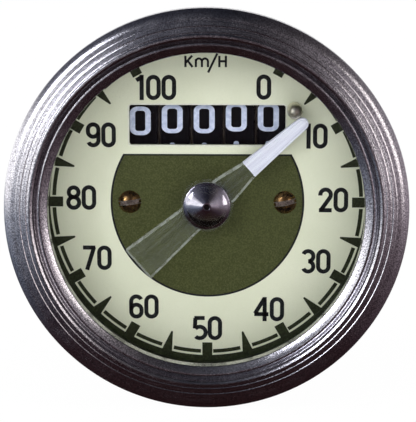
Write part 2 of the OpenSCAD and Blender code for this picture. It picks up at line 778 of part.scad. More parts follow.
// Die-cast frame on the back of the case: plate, shaft bearings and the boss for the neck
module main_frame() {
    bearing_w = 2;
    color("darkgray") stand()
        difference() {
            union() {
                ring(frame_r, 0, frame_bottom, frame_top);
                ring(boss_r, 0, boss_bottom, frame_bottom);
                for (y = [cross_from + 0.4, cross_to - 0.4 - bearing_w])
                    translate([cross_x - 2, y, frame_top]) cube([4, bearing_w, cross_z + 2 - frame_top]);
            }
            ring(drive_r + run_gap, 0, socket_top - 1, frame_top + 1);
            ring(socket_r + run_gap, 0, boss_bottom - 1, socket_top + 0.1);
            ring(neck_seat_r, 0, boss_bottom - 1, neck_seat);
            ring(first_worm_r + ADDENDUM * first_module + 0.3, 0, frame_top - frame_t / 2, frame_top + 1);
            translate([cross_x, 0, cross_z]) {
                along_y(slim_r + run_gap, cross_from - 5, cross_to + 5);
                along_y(first_r + ADDENDUM * first_module + 0.3, -wheel_t / 2 - 1, wheel_t / 2 + 0.5);
            }
            translate([upright_x, upright_y, 0]) ring(slim_r + run_gap, 0, frame_top - 1.8, frame_top + 1);
            translate([0, -lamp_y, 0]) ring(lamp_r + 1.4, 0, frame_bottom - 1, frame_top + 1);
            for (p = PILLARS)
                translate([p[0], p[1], 0]) ring(1.2, 0, frame_top - 2, frame_top + 1);
            for (p = CASE_SCREWS)
                translate([p[0], p[1], 0]) ring(1.5, 0, frame_bottom - 1, frame_top + 1);
            for (x = [-1, 1])
                translate([x * stud_x, 0, 0]) ring(stud_r, 0, frame_bottom - 1, frame_top + 1);
        }
}

// Threaded neck for the cable's nut, pressed into the boss
module cable_neck() {
    color("silver") stand()
        difference() {
            union() {
                ring(neck_r, socket_r + run_gap, neck_bottom, boss_bottom - relief_l);
                ring(neck_seat_r, socket_r + run_gap, boss_bottom - relief_l, neck_seat);
            }
            ring(neck_r - 1.7, 0, neck_bottom - 1, neck_bottom + 1.6);
            difference() {
                ring(neck_r + 2, 0, neck_bottom - 1, neck_bottom + 1);
                translate([0, 0, neck_bottom]) cylinder(h = neck_r, r1 = neck_r - 0.7, r2 = 2 * neck_r - 0.7);
            }
        }
}

// Deep-drawn steel case: flange for the bezel, rolled bead under the dial, round back corner
module case_shell() {
    bead_z = dial_bottom - sqrt(pow(bead_in, 2) - pow(case_in_r - dial_r, 2));
    corner = arc(case_r - case_corner_r, case_back + case_corner_r, case_corner_r, case_corner_r, -90, 0, 8);
    in_corner_r = case_corner_r - case_wall;
    in_corner = arc(case_r - case_corner_r, case_back + case_corner_r, in_corner_r, in_corner_r, 0, -90, 8);
    bead = arc(case_r + 0.1, bead_z, bead_in, bead_in, 266, 94, 12);
    in_bead = arc(case_in_r - 0.001, bead_z, bead_in, bead_in, 90, 270, 12);
    color("dimgray") stand()
        difference() {
            rotate_extrude() polygon(concat([[boss_r + 0.1, case_back]], corner,
                [for (p = bead) [max(p[0] + case_wall * 0.2, case_r - bead_in + case_wall * 0.3), p[1]]],
                [[case_r, bezel_sheet], [bezel_r - bezel_sheet - 0.1, bezel_sheet],
                [bezel_r - bezel_sheet - 0.1, flange_top], [case_in_r, flange_top]],
                in_bead, in_corner, [[boss_r + 0.1, case_back + case_wall]]));
            for (x = [-1, 1])
                translate([x * stud_x, 0, 0]) ring(stud_r + 0.1, 0, case_back - 1, frame_bottom + 1);
            for (p = CASE_SCREWS)
                translate([p[0], p[1], 0]) ring(1.6, 0, case_back - 1, frame_bottom + 1);
            translate([0, -lamp_y, 0]) ring(lamp_r + 0.1, 0, case_back - 1, frame_bottom + 1);
        }
}

// Two slotted screws that hold the main frame to the case
module case_screws() {
    color("silver") stand()
        for (p = CASE_SCREWS)
            translate([p[0], p[1], 0])
                difference() {
                    union() {
                        ring(1.5, 0, case_back, frame_top);
                        ring(2.8, 0, case_back - 1.8, case_back);
                    }
                    rotate([0, 0, 35 + p[0]]) translate([-4, -0.35, case_back - 2.8]) cube([8, 0.7, 1.8]);
                }
}

// Two studs riveted into the main frame
module bracket_studs() {
    color("silver") stand()
        for (x = [-1, 1])
            translate([x * stud_x, 0, 0]) {
                ring(stud_r, 0, bracket_bottom - washer_t - nut_t - 4, frame_top);
                ring(stud_r + 1, 0, frame_top, frame_top + 0.8);
            }
}

// U-shaped strap that pulls the instrument against the panel
module clamp_bracket() {
    leg_l = -panel_gap - bracket_bottom;
    color("silver") stand()
        difference() {
            union() {
                translate([-leg_x - bracket_t, -bracket_w / 2, bracket_bottom])
                    cube([2 * (leg_x + bracket_t), bracket_w, bracket_t]);
                ring(boss_r + 1 + eye_rim, 0, bracket_bottom, bracket_top);
                for (x = [-leg_x - bracket_t, leg_x])
                    translate([x, -bracket_w / 2, bracket_bottom]) cube([bracket_t, bracket_w, leg_l]);
            }
            ring(boss_r + 1, 0, bracket_bottom - 1, bracket_top + 1);
            for (x = [-1, 1])
                translate([x * stud_x, 0, 0]) ring(stud_r + 0.3, 0, bracket_bottom - 1, bracket_top + 1);
            for (x = [-leg_x - bracket_t - 1, leg_x - 1], y = [-1, 1])
                translate([x, y * bracket_w / 2, -panel_gap]) rotate([45, 0, 0]) cube([bracket_t + 2, 3, 3], center = false);
        }
}

module bracket_washers() {
    color("silver") stand()
        for (x = [-1, 1])
            translate([x * stud_x, 0, 0]) ring(stud_r + 2, stud_r + 0.1, bracket_bottom - washer_t, bracket_bottom);
}

module bracket_nuts() {
    color("silver") stand()
        for (x = [-1, 1])
            translate([x * stud_x, 0, bracket_bottom - washer_t - nut_t])
                difference() {
                    rotate([0, 0, 30 + 8 * x]) cylinder(h = nut_t, r = nut_flats / sqrt(3), $fn = 6);
                    translate([0, 0, -1]) cylinder(h = nut_t + 2, r = stud_r);
                }
}

// Push-in holder of the dial lamp, with a terminal at its end
module lamp_holder() {
    end = case_back - lamp_out;
    contact_t = 1;
    terminal_l = 2;
    color("silver") stand() translate([0, -lamp_y, 0]) {
        difference() {
            union() {
                ring(lamp_r, 0, end, frame_top + lamp_in);
                ring(lamp_r + collar_w, 0, case_back - collar_t, case_back);
            }
            ring(lamp_r - lamp_wall, 0, end + lamp_floor, frame_top + lamp_in + 1);
        }
        ring(lamp_r * 0.42, 0, end - contact_t, end);
        ring(lamp_r * 0.23, 0, end - contact_t - terminal_l, end - contact_t);
    }
}

// Small bulb with a screw cap
module lamp_bulb() {
    base_r = lamp_r - lamp_wall - 0.1;
    bulb_r = base_r - 0.9;
    foot = case_back - lamp_out + lamp_floor;
    base_bottom = foot + 0.4;
    base_top = frame_top + lamp_in - 1;
    bulb_z = base_top + 3;
    color([1, 0.95, 0.8, 0.6]) stand() translate([0, -lamp_y, 0]) {
        ring(base_r, 0, base_bottom, base_top);
        ring(base_r * 0.3, 0, foot, base_bottom);
        ring(bulb_r, 0, base_top, bulb_z);
        translate([0, 0, bulb_z]) intersection() {
            sphere(r = bulb_r);
            ring(base_r, 0, 0, base_r);
        }
    }
}

bezel();
glass();
glass_gasket();
spacer_ring();
dial();
dial_screws();
stop_pin();
pointer();
hub_cap();
pointer_bush();
pointer_spindle();
speed_cup();
spring_collet();
hairspring();
regulator();
top_bridge();
bridge_bush();
counter_frame();
frame_pillars();
pillar_screws();
keeper_cup();
magnet();
drive_spindle();
cross_shaft();
cross_wheel();
upright_shaft();
upright_wheel();
drum_gear();
drum(1);  // drum_1
drum(2);  // drum_2
drum(3);  // drum_3
drum(4);  // drum_4
drum(5);  // drum_5
carry_pinion(1);  // carry_pinion_1
carry_pinion(2);  // carry_pinion_2
carry_pinion(3);  // carry_pinion_3
carry_pinion(4);  // carry_pinion_4
carrier_plates();
drum_shaft();
drum_washer();
main_frame();
cable_neck();
case_shell();
case_screws();
bracket_studs();
clamp_bracket();
bracket_washers();
bracket_nuts();
lamp_holder();
lamp_bulb();
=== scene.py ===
"""Looks of a round magnetic speedometer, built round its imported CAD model."""

import math
from collections import namedtuple

import bmesh
import bpy
from bpy.props import (
    FloatProperty,
    FloatVectorProperty,
    IntProperty,
    PointerProperty,
    StringProperty,
)
from mathutils import Matrix, Vector


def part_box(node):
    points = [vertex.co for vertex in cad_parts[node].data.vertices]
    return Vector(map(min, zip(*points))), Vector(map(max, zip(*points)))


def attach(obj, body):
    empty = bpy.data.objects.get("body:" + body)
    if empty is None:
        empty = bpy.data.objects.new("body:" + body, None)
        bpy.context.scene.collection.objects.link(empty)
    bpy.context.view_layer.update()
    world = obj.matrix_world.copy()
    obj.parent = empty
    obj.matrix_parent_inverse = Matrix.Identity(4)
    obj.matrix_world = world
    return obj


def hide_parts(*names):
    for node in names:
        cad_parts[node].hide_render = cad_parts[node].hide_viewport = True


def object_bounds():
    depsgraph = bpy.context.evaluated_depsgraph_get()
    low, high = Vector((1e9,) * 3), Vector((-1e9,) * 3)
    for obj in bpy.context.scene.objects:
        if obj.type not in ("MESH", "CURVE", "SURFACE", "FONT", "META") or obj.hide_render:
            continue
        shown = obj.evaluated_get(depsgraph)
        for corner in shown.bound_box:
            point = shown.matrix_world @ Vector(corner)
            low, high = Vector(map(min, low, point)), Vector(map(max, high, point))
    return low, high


bl_info = {
    "name": "Speedometer Looks",
    "version": (1, 0, 0),
    "blender": (4, 5, 0),
    "location": "View3D > Sidebar > Speedometer",
    "description": "Dresses the packed speedometer: chrome bezel, printed dial, drums, pointer and case",
    "category": "Object",
}

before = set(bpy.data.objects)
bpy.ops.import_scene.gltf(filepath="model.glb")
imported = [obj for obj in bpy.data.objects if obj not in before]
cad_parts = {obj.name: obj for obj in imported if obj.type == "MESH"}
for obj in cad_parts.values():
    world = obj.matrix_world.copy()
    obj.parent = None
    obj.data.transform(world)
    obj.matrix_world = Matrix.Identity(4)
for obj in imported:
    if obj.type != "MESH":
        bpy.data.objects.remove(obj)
CAD_LOW, CAD_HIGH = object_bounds()

MM = 0.001
# The pieces are modelled in millimetres with the dial facing +Z and twelve o'clock at +Y, as the
# CAD source does, and are then turned upright and brought to metres by this matrix.
UPRIGHT = Matrix(((1, 0, 0, 0), (0, 0, -1, 0), (0, 1, 0, 0), (0, 0, 0, 1))) @ Matrix.Scale(MM, 4)


def height_of(node, front=True):
    """Height of a CAD node's front or back face above the bezel's back plane, in mm."""
    low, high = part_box(node)
    return -(low.y if front else high.y) / MM


def reach_of(node):
    """How far a CAD node reaches to each side of the axis, in mm."""
    low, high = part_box(node)
    return (high.x - low.x) / 2 / MM


DIAL_TOP = height_of("dial")
GLASS_TOP = height_of("glass")
BEZEL_TOP = height_of("bezel")
BEZEL_R = reach_of("bezel")
POINTER_TOP = height_of("pointer")
POINTER_BOTTOM = height_of("pointer", front=False)
CAP_R = reach_of("hub_cap")
CAP_TOP = height_of("hub_cap")
DRUM_LOW, DRUM_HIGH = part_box("drum_3")
DRUM_R = (DRUM_HIGH.z - DRUM_LOW.z) / 2 / MM
# The drums' axis: how far it lies up the dial, and its height
DRUM_AXIS = ((DRUM_HIGH.z + DRUM_LOW.z) / 2 / MM, height_of("drum_3") - DRUM_R)
NECK_END = height_of("cable_neck", front=False)
NECK_R = reach_of("cable_neck")
CASE_BACK = height_of("case_shell", front=False)

# Angle of the pointer at rest, clockwise from twelve o'clock
REST_ANGLE = math.radians(48.98)
# A printed layer stands this far off what it is printed on, in mm
PRINT_LIFT = 0.02


# Sizes and colours that a user would change


class BezelSettings(bpy.types.PropertyGroup):
    """Sizes of the chrome ring."""

    opening: FloatProperty(
        name="Opening", description="Radius that the bezel leaves open over the glass, mm",
        default=25.8, min=24, max=27,
    )
    steps: IntProperty(
        name="Steps", description="Number of steps beside the shoulder", default=3, min=1, max=5
    )
    step_height: FloatProperty(
        name="Step height", description="Height of each step, mm", default=0.25, min=0.1, max=0.35
    )
    shoulder: FloatProperty(
        name="Shoulder", description="Width of the round shoulder, mm", default=1.9, min=1.5, max=2.5
    )
    wear: FloatProperty(
        name="Wear", description="Roughness of the worn plating", default=0.22, min=0, max=1,
        subtype="FACTOR",
    )


class DialSettings(bpy.types.PropertyGroup):
    """Colours and sizes of the dial's print."""

    cream: StringProperty(name="Cream", description="sRGB colour of the dial", default="#E6EAD2")
    green: StringProperty(name="Green", description="sRGB colour of the centre", default="#424726")
    ring_green: StringProperty(
        name="Ring green", description="sRGB colour of the outer ring", default="#2A3020"
    )
    ink: StringProperty(name="Ink", description="sRGB colour of the numbers", default="#0B0F12")
    centre_radius: FloatProperty(
        name="Centre radius", description="Radius of the green centre, mm", default=15.9, min=14, max=18
    )
    centre_top: FloatProperty(
        name="Centre's flat top", description="Height of its straight edge above the axis, mm",
        default=7.85, min=6, max=9,
    )
    number_width: FloatProperty(
        name="Number stroke", description="Width of the numbers' stroke, mm", default=0.7, min=0.4, max=1
    )


class PointerSettings(bpy.types.PropertyGroup):
    """Sizes and colour of the pointer."""

    white_from: FloatProperty(
        name="White from", description="Distance from the axis where the white begins, mm",
        default=9.2, min=9.2, max=14,
    )
    white: StringProperty(name="White", description="sRGB colour of the painted half", default="#EEF2FF")


class StudioSettings(bpy.types.PropertyGroup):
    """Camera and light."""

    elevation: FloatProperty(
        name="Elevation", description="Angle of the camera above the dial's axis",
        default=math.radians(10.2), subtype="ANGLE",
    )
    azimuth: FloatProperty(
        name="Azimuth", description="Angle of the camera to the right",
        default=math.radians(1.3), subtype="ANGLE",
    )
    distance: FloatProperty(
        name="Distance", description="Distance from the camera to the bezel", default=0.285, unit="LENGTH"
    )
    key: FloatProperty(
        name="Left light", description="Power of the light at the left, W", default=2.7, min=0
    )
    side: FloatProperty(
        name="Right light", description="Power of the light at the right, W", default=0.7, min=0
    )
    fill: FloatProperty(
        name="World light", description="Strength of the world's even light", default=1.5, min=0
    )
    offset: FloatVectorProperty(
        name="Shift", description="Shift that frames the object", default=(0.0046, 0.0027), size=2
    )


# Colours and shader nodes


def colour(code):
    """Linear colour of an sRGB hex value."""
    parts = [int(code[i : i + 2], 16) / 255 for i in (1, 3, 5)]
    return [c / 12.92 if c <= 0.04045 else ((c + 0.055) / 1.055) ** 2.4 for c in parts] + [1]


def empty_tree(owner):
    """The node tree of a material or a world, emptied."""
    owner.use_nodes = True
    owner.node_tree.nodes.clear()
    return owner.node_tree


def add_node(tree, kind, inputs=None, **settings):
    """Adds a shader node with its settings, and sets or links its inputs."""
    made = tree.nodes.new("ShaderNode" + kind)
    for key, value in settings.items():
        setattr(made, key, value)
    for key, value in (inputs or {}).items():
        if isinstance(value, bpy.types.NodeSocket):
            tree.links.new(value, made.inputs[key])
        else:
            made.inputs[key].default_value = value
    return made


# A grain's size is in mm. A squeeze over 1 packs it along that axis and one under 1 draws it out, spread
# is the part of the texture that becomes 0 to 1, a leaning one lies along the pointer, and mixed is
# another grain and its share.
Grain = namedtuple(
    "Grain", "size detail squeeze spread leaning kind mixed",
    defaults=(3, None, (0.35, 0.65), False, "TexNoise", None),
)


def draw_grain(tree, place, grain, drawn):
    """Draws a grain once on a material, and gives its output, from 0 to 1."""
    if grain not in drawn:
        where = place
        if grain.leaning:
            turn = {"Vector": where, "Rotation": (0, -REST_ANGLE, 0)}
            where = add_node(tree, "Mapping", turn).outputs["Vector"]
        if grain.squeeze:
            where = add_node(tree, "Mapping", {"Vector": where, "Scale": grain.squeeze}).outputs["Vector"]
        scale = 1 / (grain.size * MM)
        texture = add_node(tree, grain.kind, {"Vector": where, "Scale": scale, "Detail": grain.detail})
        low, high = grain.spread
        spread = {"Value": texture.outputs[0], "From Min": low, "From Max": high}
        drawn[grain] = add_node(tree, "MapRange", spread).outputs["Result"]
        if grain.mixed:
            other, share = grain.mixed
            both = {"Factor": share, "A": drawn[grain], "B": draw_grain(tree, place, other, drawn)}
            drawn[grain] = add_node(tree, "Mix", both, data_type="FLOAT").outputs["Result"]
    return drawn[grain]


def finish(name, tone, rough=None, relief=None, haze=None, sheen=None, **inputs):
    """A material with that name, made once, on object coordinates.

    The tone is one sRGB colour, or a grain and the two colours that it runs between. Rough is a grain
    and two roughnesses, and relief a grain and its depth in mm. Haze, a grain and the least and the
    greatest share of light that is kept, makes it clear, and sheen is the index that adds a mirror at
    flat angles.
    """
    if name in bpy.data.materials:
        return bpy.data.materials[name]
    made = bpy.data.materials.new(name)
    tree = empty_tree(made)
    place = add_node(tree, "TexCoord").outputs["Object"]
    drawn = {}

    def between(grain, low, high):
        given = {"Value": draw_grain(tree, place, grain, drawn), "To Min": low, "To Max": high}
        return add_node(tree, "MapRange", given).outputs["Result"]

    given = {key.replace("_", " "): value for key, value in inputs.items()}
    if isinstance(tone, str):
        given["Base Color"] = colour(tone)
    else:
        grain, dark, light = tone
        mixed = {"Factor": draw_grain(tree, place, grain, drawn), "A": colour(dark), "B": colour(light)}
        given["Base Color"] = add_node(tree, "Mix", mixed, data_type="RGBA").outputs["Result"]
    if rough:
        given["Roughness"] = between(*rough)
    if relief:
        grain, depth = relief
        height = draw_grain(tree, place, grain, drawn)
        raised = add_node(tree, "Bump", {"Height": height, "Distance": depth * MM, "Strength": 1.0})
        given["Normal"] = raised.outputs["Normal"]
    shown = add_node(tree, "BsdfPrincipled", given).outputs["BSDF"]
    if haze:
        share = between(*haze)
        if sheen:
            edge = add_node(tree, "Fresnel", {"IOR": sheen}).outputs["Fac"]
            both = add_node(tree, "Math", {0: edge, 1: share}, operation="ADD", use_clamp=True)
            share = both.outputs["Value"]
        through = add_node(tree, "BsdfTransparent", {"Color": (1, 1, 1, 1)}).outputs["BSDF"]
        shown = add_node(tree, "MixShader", {0: share, 1: through, 2: shown}).outputs["Shader"]
    add_node(tree, "OutputMaterial", {"Surface": shown})
    return made


# Finishes


def chrome_plate(wear):
    # Nickel-chrome plate worn by years of polishing: it mirrors the room softly blurred, and its fine
    # pits, some 0.2 mm apart, read as a grain of light and dark specks on a broad sheen.
    pits = Grain(0.2, 2, spread=(0.36, 0.64))
    blur = (Grain(3.0, 4), wear - 0.03, wear + 0.03)
    return finish("worn chrome plate", (pits, "#96949A", "#E2E0E6"), blur, (pits, 0.003), Metallic=1.0)


def polished_chrome():
    # Bright chrome of the hub cap: spun and polished, with turning marks too fine to see, so a slight
    # blur stands for them.
    clouds = Grain(1.6)
    return finish("polished chrome", (clouds, "#B4B2C0", "#D6D4DE"), (clouds, 0.03, 0.09), Metallic=1.0)


def hole_grime():
    # Painted shade: the wall and floor of the cap's deep hole are nearly black and dull, standing for the
    # shade down in the bore.
    specks = (Grain(0.15, 2), "#040404", "#0C0B0A")
    return finish("painted shade of the cap's deep hole", specks, Roughness=0.8, Specular_IOR_Level=0.1)


def plate_glass():
    # Clear drawn glass, seen only by a little dust and by the sheen that it has at a flat angle, drawn
    # as a mirror whose share grows with the angle.
    dust = (Grain(0.6, 2, spread=(0.68, 0.74)), 0.0, 0.03)
    return finish(
        "clear instrument glass", "#FFFFFF", haze=dust, sheen=1.3, Metallic=1.0, Roughness=0.03, IOR=1.52
    )


def clear_acrylic():
    # Moulded acrylic, polished: it shows what lies behind it under a thin haze, with the flow lines of
    # the moulding along it, about 0.5 mm apart.
    flow = Grain(0.5, squeeze=(1, 1, 0.06), leaning=True)
    return finish("moulded clear acrylic", "#DDE6DF", haze=(flow, 0.01, 0.05), Roughness=0.15, IOR=1.49)


def acrylic_edge():
    # Painted light: the cut edges of the acrylic gather the light that runs inside it, and that glow is
    # painted on them, so they look pale and solid.
    return finish("acrylic edge with painted glow", "#E2EAE2", haze=(Grain(1.2), 0.22, 0.42), Roughness=0.2, IOR=1.49)


def pointer_white(code):
    # Brushed-on white enamel behind the acrylic: streaks of the brush run lengthwise, 0.5 mm apart.
    streaks = Grain(0.5, squeeze=(1, 1, 0.05), leaning=True)
    return finish(
        "brushed white enamel", (streaks, "#DADDEE", code), relief=(streaks, 0.01),
        Roughness=0.35, Specular_IOR_Level=0.2,
    )


def dial_enamel(code):
    # Baked cream enamel on the aluminium dial: smooth, faintly mottled, a little darker with age in
    # soft clouds some 8 mm wide.
    grain = Grain(0.35)
    age = Grain(8.0, mixed=(grain, 0.35))
    return finish(
        "baked cream enamel", (age, code, "#DFE4CA"), (grain, 0.38, 0.5), (grain, 0.002),
        Specular_IOR_Level=0.2,
    )


def green_ink(name, dark, light):
    # Screen-printed metallic green: flakes of about 0.2 mm sparkle in a dull ground.
    flakes = Grain(0.22, spread=(0.4, 0.66))
    return finish(name, (flakes, dark, light), (flakes, 0.6, 0.4), Metallic=0.1, Specular_IOR_Level=0.15)


def black_ink(code):
    # Screen-printed black: slightly raised and half matt, with pinholes where the mesh was.
    mesh = Grain(0.2, 2)
    return finish(
        "screen-printed black ink", (mesh, code, "#22282A"), (mesh, 0.4, 0.6), Specular_IOR_Level=0.2
    )


def drum_black():
    # Moulded black plastic: satin, with dust and hair scratches round the drum, 0.2 mm apart.
    rings = Grain(0.6, squeeze=(3.0, 0.4, 0.4))
    return finish(
        "moulded black drum plastic", (rings, "#020207", "#090A14"), (rings, 0.3, 0.5), (rings, 0.004),
        Specular_IOR_Level=0.2, IOR=1.5,
    )


def number_white():
    # Pale blue-white pad-printed ink of the drum numbers, thin enough to look uneven.
    patches = (Grain(0.7), "#B4C0DC", "#D2DAF0")
    return finish("pad-printed white ink", patches, Roughness=0.5, Specular_IOR_Level=0.2)


def brown_laminate():
    # Punched paper laminate, brown and matt, with fibres about 1 mm long and 0.2 mm thick.
    fibre = Grain(0.5, 4, squeeze=(1, 0.5, 2.5))
    tone = (fibre, "#2A211B", "#3E332A")
    return finish("punched brown laminate", tone, relief=(fibre, 0.01), Roughness=0.6)


def aged_bronze():
    # Turned bronze screw gone brown: mirror-like where it was handled, dull elsewhere.
    stain = Grain(0.8, 4)
    tone = (stain, "#7C6040", "#B8925E")
    return finish("aged turned bronze", tone, (stain, 0.36, 0.2), (stain, 0.01), Metallic=1.0)


def worn_bronze():
    # Slots of the screws and their edges, rubbed bare by the driver: paler and duller than the head. The
    # paleness is partly a painted highlight, which makes the slot's edges and floor read as lit.
    rub = Grain(0.3)
    return finish("rubbed bronze edge with painted highlight", (rub, "#8E8078", "#D8CCC2"), (rub, 0.6, 0.4), Metallic=1.0)


def bright_nickel():
    # Nickel plate on a turned pin, dulled: warm silver with broad soft lights.
    film = Grain(0.5)
    return finish("bright nickel plate", (film, "#E6E0CC", "#F8F4E6"), (film, 0.42, 0.55), Metallic=1.0)


def turned_metal(name, dark, light, groove, low, high):
    # Turned or drawn metal: fine rings round its axis, and a slightly uneven film on top.
    film = Grain(1.5)
    rings = Grain(groove, 2, squeeze=(0.15, 3.0, 0.15))
    return finish(name, (film, dark, light), (film, low, high), (rings, 0.004), Metallic=1.0)


def sheet_metal(name, dark, light, low, high):
    # Rolled and plated sheet: spangles a few millimetres wide, fine rolling lines across them.
    spangle = Grain(2.5, 0, spread=(0, 1), kind="TexVoronoi")
    film = Grain(1.1, 4)
    lines = Grain(0.3, 2, squeeze=(1, 0.08, 1))
    tone = (film._replace(mixed=(spangle, 0.15)), dark, light)
    return finish(name, tone, (film, low, high), (lines, 0.003), Metallic=1.0)


def case_enamel():
    # Sprayed black enamel on the drawn steel case: satin, with the spray's orange peel, 0.8 mm wide,
    # under a little dust.
    peel = Grain(0.8, 2, spread=(0.3, 0.7))
    dust = Grain(1.2, 5)
    tone = (dust, "#1B1B1D", "#252425")
    return finish("sprayed black enamel", tone, (dust, 0.36, 0.42), (peel, 0.006), IOR=1.5)


def cast_metal():
    # Die-cast zinc alloy as it comes from the die: grey and dull, with a grainy skin of 0.4 mm.
    skin = Grain(0.4, 4)
    clouds = (Grain(4.0), "#86878A", "#A4A5A8")
    return finish("die-cast zinc alloy", clouds, (skin, 0.42, 0.62), (skin, 0.02), Metallic=0.9)


def moulded(name, dark, light, rough):
    # Moulded rubber or nylon, blown glass and the dial's bare cut edge: one even colour with a fine
    # grain of 0.5 mm.
    grain = Grain(0.5)
    return finish(name, (grain, dark, light), relief=(grain, 0.008), Roughness=rough, IOR=1.5)


def ring_paint(dark, light):
    # Dark green paint on the folded ring between dial and glass, half matt.
    clouds = Grain(1.5, 4)
    return finish(
        "brushed dark green paint", (clouds, dark, light), (clouds, 0.4, 0.6), Specular_IOR_Level=0.2
    )


# Making pieces


def mesh_of(name, bm):
    """Turns a finished bmesh into a mesh."""
    mesh = bpy.data.meshes.new(name)
    bm.to_mesh(mesh)
    bm.free()
    return mesh


def new_object(name, data):
    """Puts an object of a mesh, a light or a camera in the scene."""
    made = bpy.data.objects.new(name, data)
    bpy.context.scene.collection.objects.link(made)
    return made


def new_piece(name, bm, materials, body, replaced=(), sharp=35):
    """Turns a mesh in mm upright, gives it its finishes, and lets it ride on its body."""
    bmesh.ops.transform(bm, matrix=UPRIGHT, verts=bm.verts)
    for face in bm.faces:
        face.smooth = True
    mesh = mesh_of(name, bm)
    mesh.set_sharp_from_angle(angle=math.radians(sharp))
    for material in materials:
        mesh.materials.append(material)
    piece = new_object(name, mesh)
    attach(piece, body)
    if replaced:
        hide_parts(*replaced)


def dress(material, *nodes):
    """Gives CAD nodes a finish."""
    for name in nodes:
        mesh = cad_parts[name].data
        mesh.materials.clear()
        mesh.materials.append(material)


def arc_points(cx, cz, rx, rz, start, end, steps):
    """Points of an arc in radius and height."""
    turns = [math.radians(start + (end - start) * i / steps) for i in range(steps + 1)]
    return [(cx + rx * math.cos(t), cz + rz * math.sin(t)) for t in turns]


def lathe(bm, profile, steps=128, closed=True, at=(0, 0)):
    """Spins a profile of (radius, height) points round the Z axis through a place."""
    verts = [bm.verts.new((at[0] + r, at[1], z)) for r, z in profile]
    pairs = list(zip(verts, verts[1:])) + ([(verts[-1], verts[0])] if closed else [])
    edges = [bm.edges.new(p) for p in pairs]
    bmesh.ops.spin(
        bm, geom=verts + edges, cent=(at[0], at[1], 0), axis=(0, 0, 1), angle=2 * math.pi, steps=steps,
        use_merge=True,
    )
    bmesh.ops.remove_doubles(bm, verts=bm.verts, dist=1e-4)
    bmesh.ops.recalc_face_normals(bm, faces=bm.faces)


def helix(bm, root, crest, start, turns, pitch, at=(0, 0), steps=32):
    """A screw thread's ridge round the Z axis through a place, from a height downwards."""
    section = [(root, 0.42), (crest, 0.12), (crest, -0.12), (root, -0.42)]
    verts = [bm.verts.new((at[0] + r, at[1], start + z * pitch)) for r, z in section]
    ridge = bm.faces.new(verts)
    bmesh.ops.spin(
        bm, geom=[ridge], cent=(at[0], at[1], 0), axis=(0, 0, 1), dvec=(0, 0, -pitch / steps),
        angle=2 * math.pi * turns, steps=int(steps * turns),
    )
    bmesh.ops.recalc_face_normals(bm, faces=bm.faces)


class Pen:
    """A flat brush that draws strokes on a plane, by extruding and spinning its edge."""

    def __init__(self, bm, x, y, heading, width, height):
        self.bm, self.heading = bm, math.radians(heading)
        self.place = Vector((x, y, height))
        across = Vector((-math.sin(self.heading), math.cos(self.heading), 0)) * width / 2
        ends = [bm.verts.new(self.place + across), bm.verts.new(self.place - across)]
        self.edge = bm.edges.new(ends)

    def line(self, length, end_scale=1.0, parts=1):
        """Draws straight on in that many parts, to an edge scaled by end_scale."""
        step = Vector((math.cos(self.heading), math.sin(self.heading), 0)) * length / parts
        for _ in range(parts):
            out = bmesh.ops.extrude_edge_only(self.bm, edges=[self.edge])["geom"]
            verts = [g for g in out if isinstance(g, bmesh.types.BMVert)]
            edges = [g for g in out if isinstance(g, bmesh.types.BMEdge)]
            self.edge = next(e for e in edges if set(e.verts) == set(verts))
            bmesh.ops.translate(self.bm, verts=verts, vec=step)
            self.place = self.place + step
        if end_scale != 1:
            ends = list(self.edge.verts)
            bmesh.ops.scale(
                self.bm, verts=ends, vec=(end_scale,) * 3, space=Matrix.Translation(-self.place)
            )
        return self

    def arc(self, radius, degrees, steps=None):
        """Draws an arc, to the left for positive degrees and to the right for negative ones."""
        left = Vector((-math.sin(self.heading), math.cos(self.heading), 0))
        centre = self.place + left * math.copysign(radius, degrees)
        steps = steps or max(4, int(abs(degrees) / 10))
        out = bmesh.ops.spin(
            self.bm, geom=[self.edge, *self.edge.verts], cent=centre, axis=(0, 0, 1),
            angle=math.radians(degrees), steps=steps,
        )["geom_last"]
        self.edge = next(g for g in out if isinstance(g, bmesh.types.BMEdge))
        self.place = Matrix.Rotation(math.radians(degrees), 3, "Z") @ (self.place - centre) + centre
        self.heading += math.radians(degrees)
        return self


def oval(r):
    """The figure nought, with corners of that radius."""
    return [(1, r, 90, [4 - 2 * r, (r, 90), 2 - 2 * r, (r, 90), 4 - 2 * r, (r, 90), 2 - 2 * r, (r, 90)])]


SIX = [(0.906, 3.42, 115, [(1, 155), 2.0, (1, 180), 0.35, (1, 180)])]
# Strokes of the figures: where each starts, its heading, its straight lengths, (radius, degrees)
# arcs and narrowed ends. A figure is 2 wide and 4 high, measured at the middle of its stroke.
FIGURES = {
    "0": oval(1),
    "1": [(0.3, -0.4, 90, [4.8]), (0.35, 4.0, 212, [1.25])],
    "2": [(-1, 2.85, 90, [0.15, (1, -215), 2.96]), (-1.25, 0, 0, [2.45])],
    "3": [(-0.906, 3.42, 65, [(1, -245)]), (0, 2, 0, [(1, -245)])],
    "4": [(0.45, 4.05, -121, [3.4]), (-1.45, 1.0, 0, [2.75]), (0.55, -0.4, 90, [4.8])],
    "5": [(-1.05, 4, 0, [2.0]), (-0.85, 4.0, -93, [2.1]), (-0.88, 1.85, 50, [(1.14, -275)])],
    "6": SIX,
    "7": [(-1.2, 4, 0, [2.4]), (0.95, 4.1, -107.3, [4.7])],
    "8": [(0.93, 3.02, 90, [(0.93, 360)]), (1.04, 1.04, 90, [(1.04, 360)])],
    "9": [(-x, 4 - y, heading + 180, moves) for x, y, heading, moves in SIX],
}


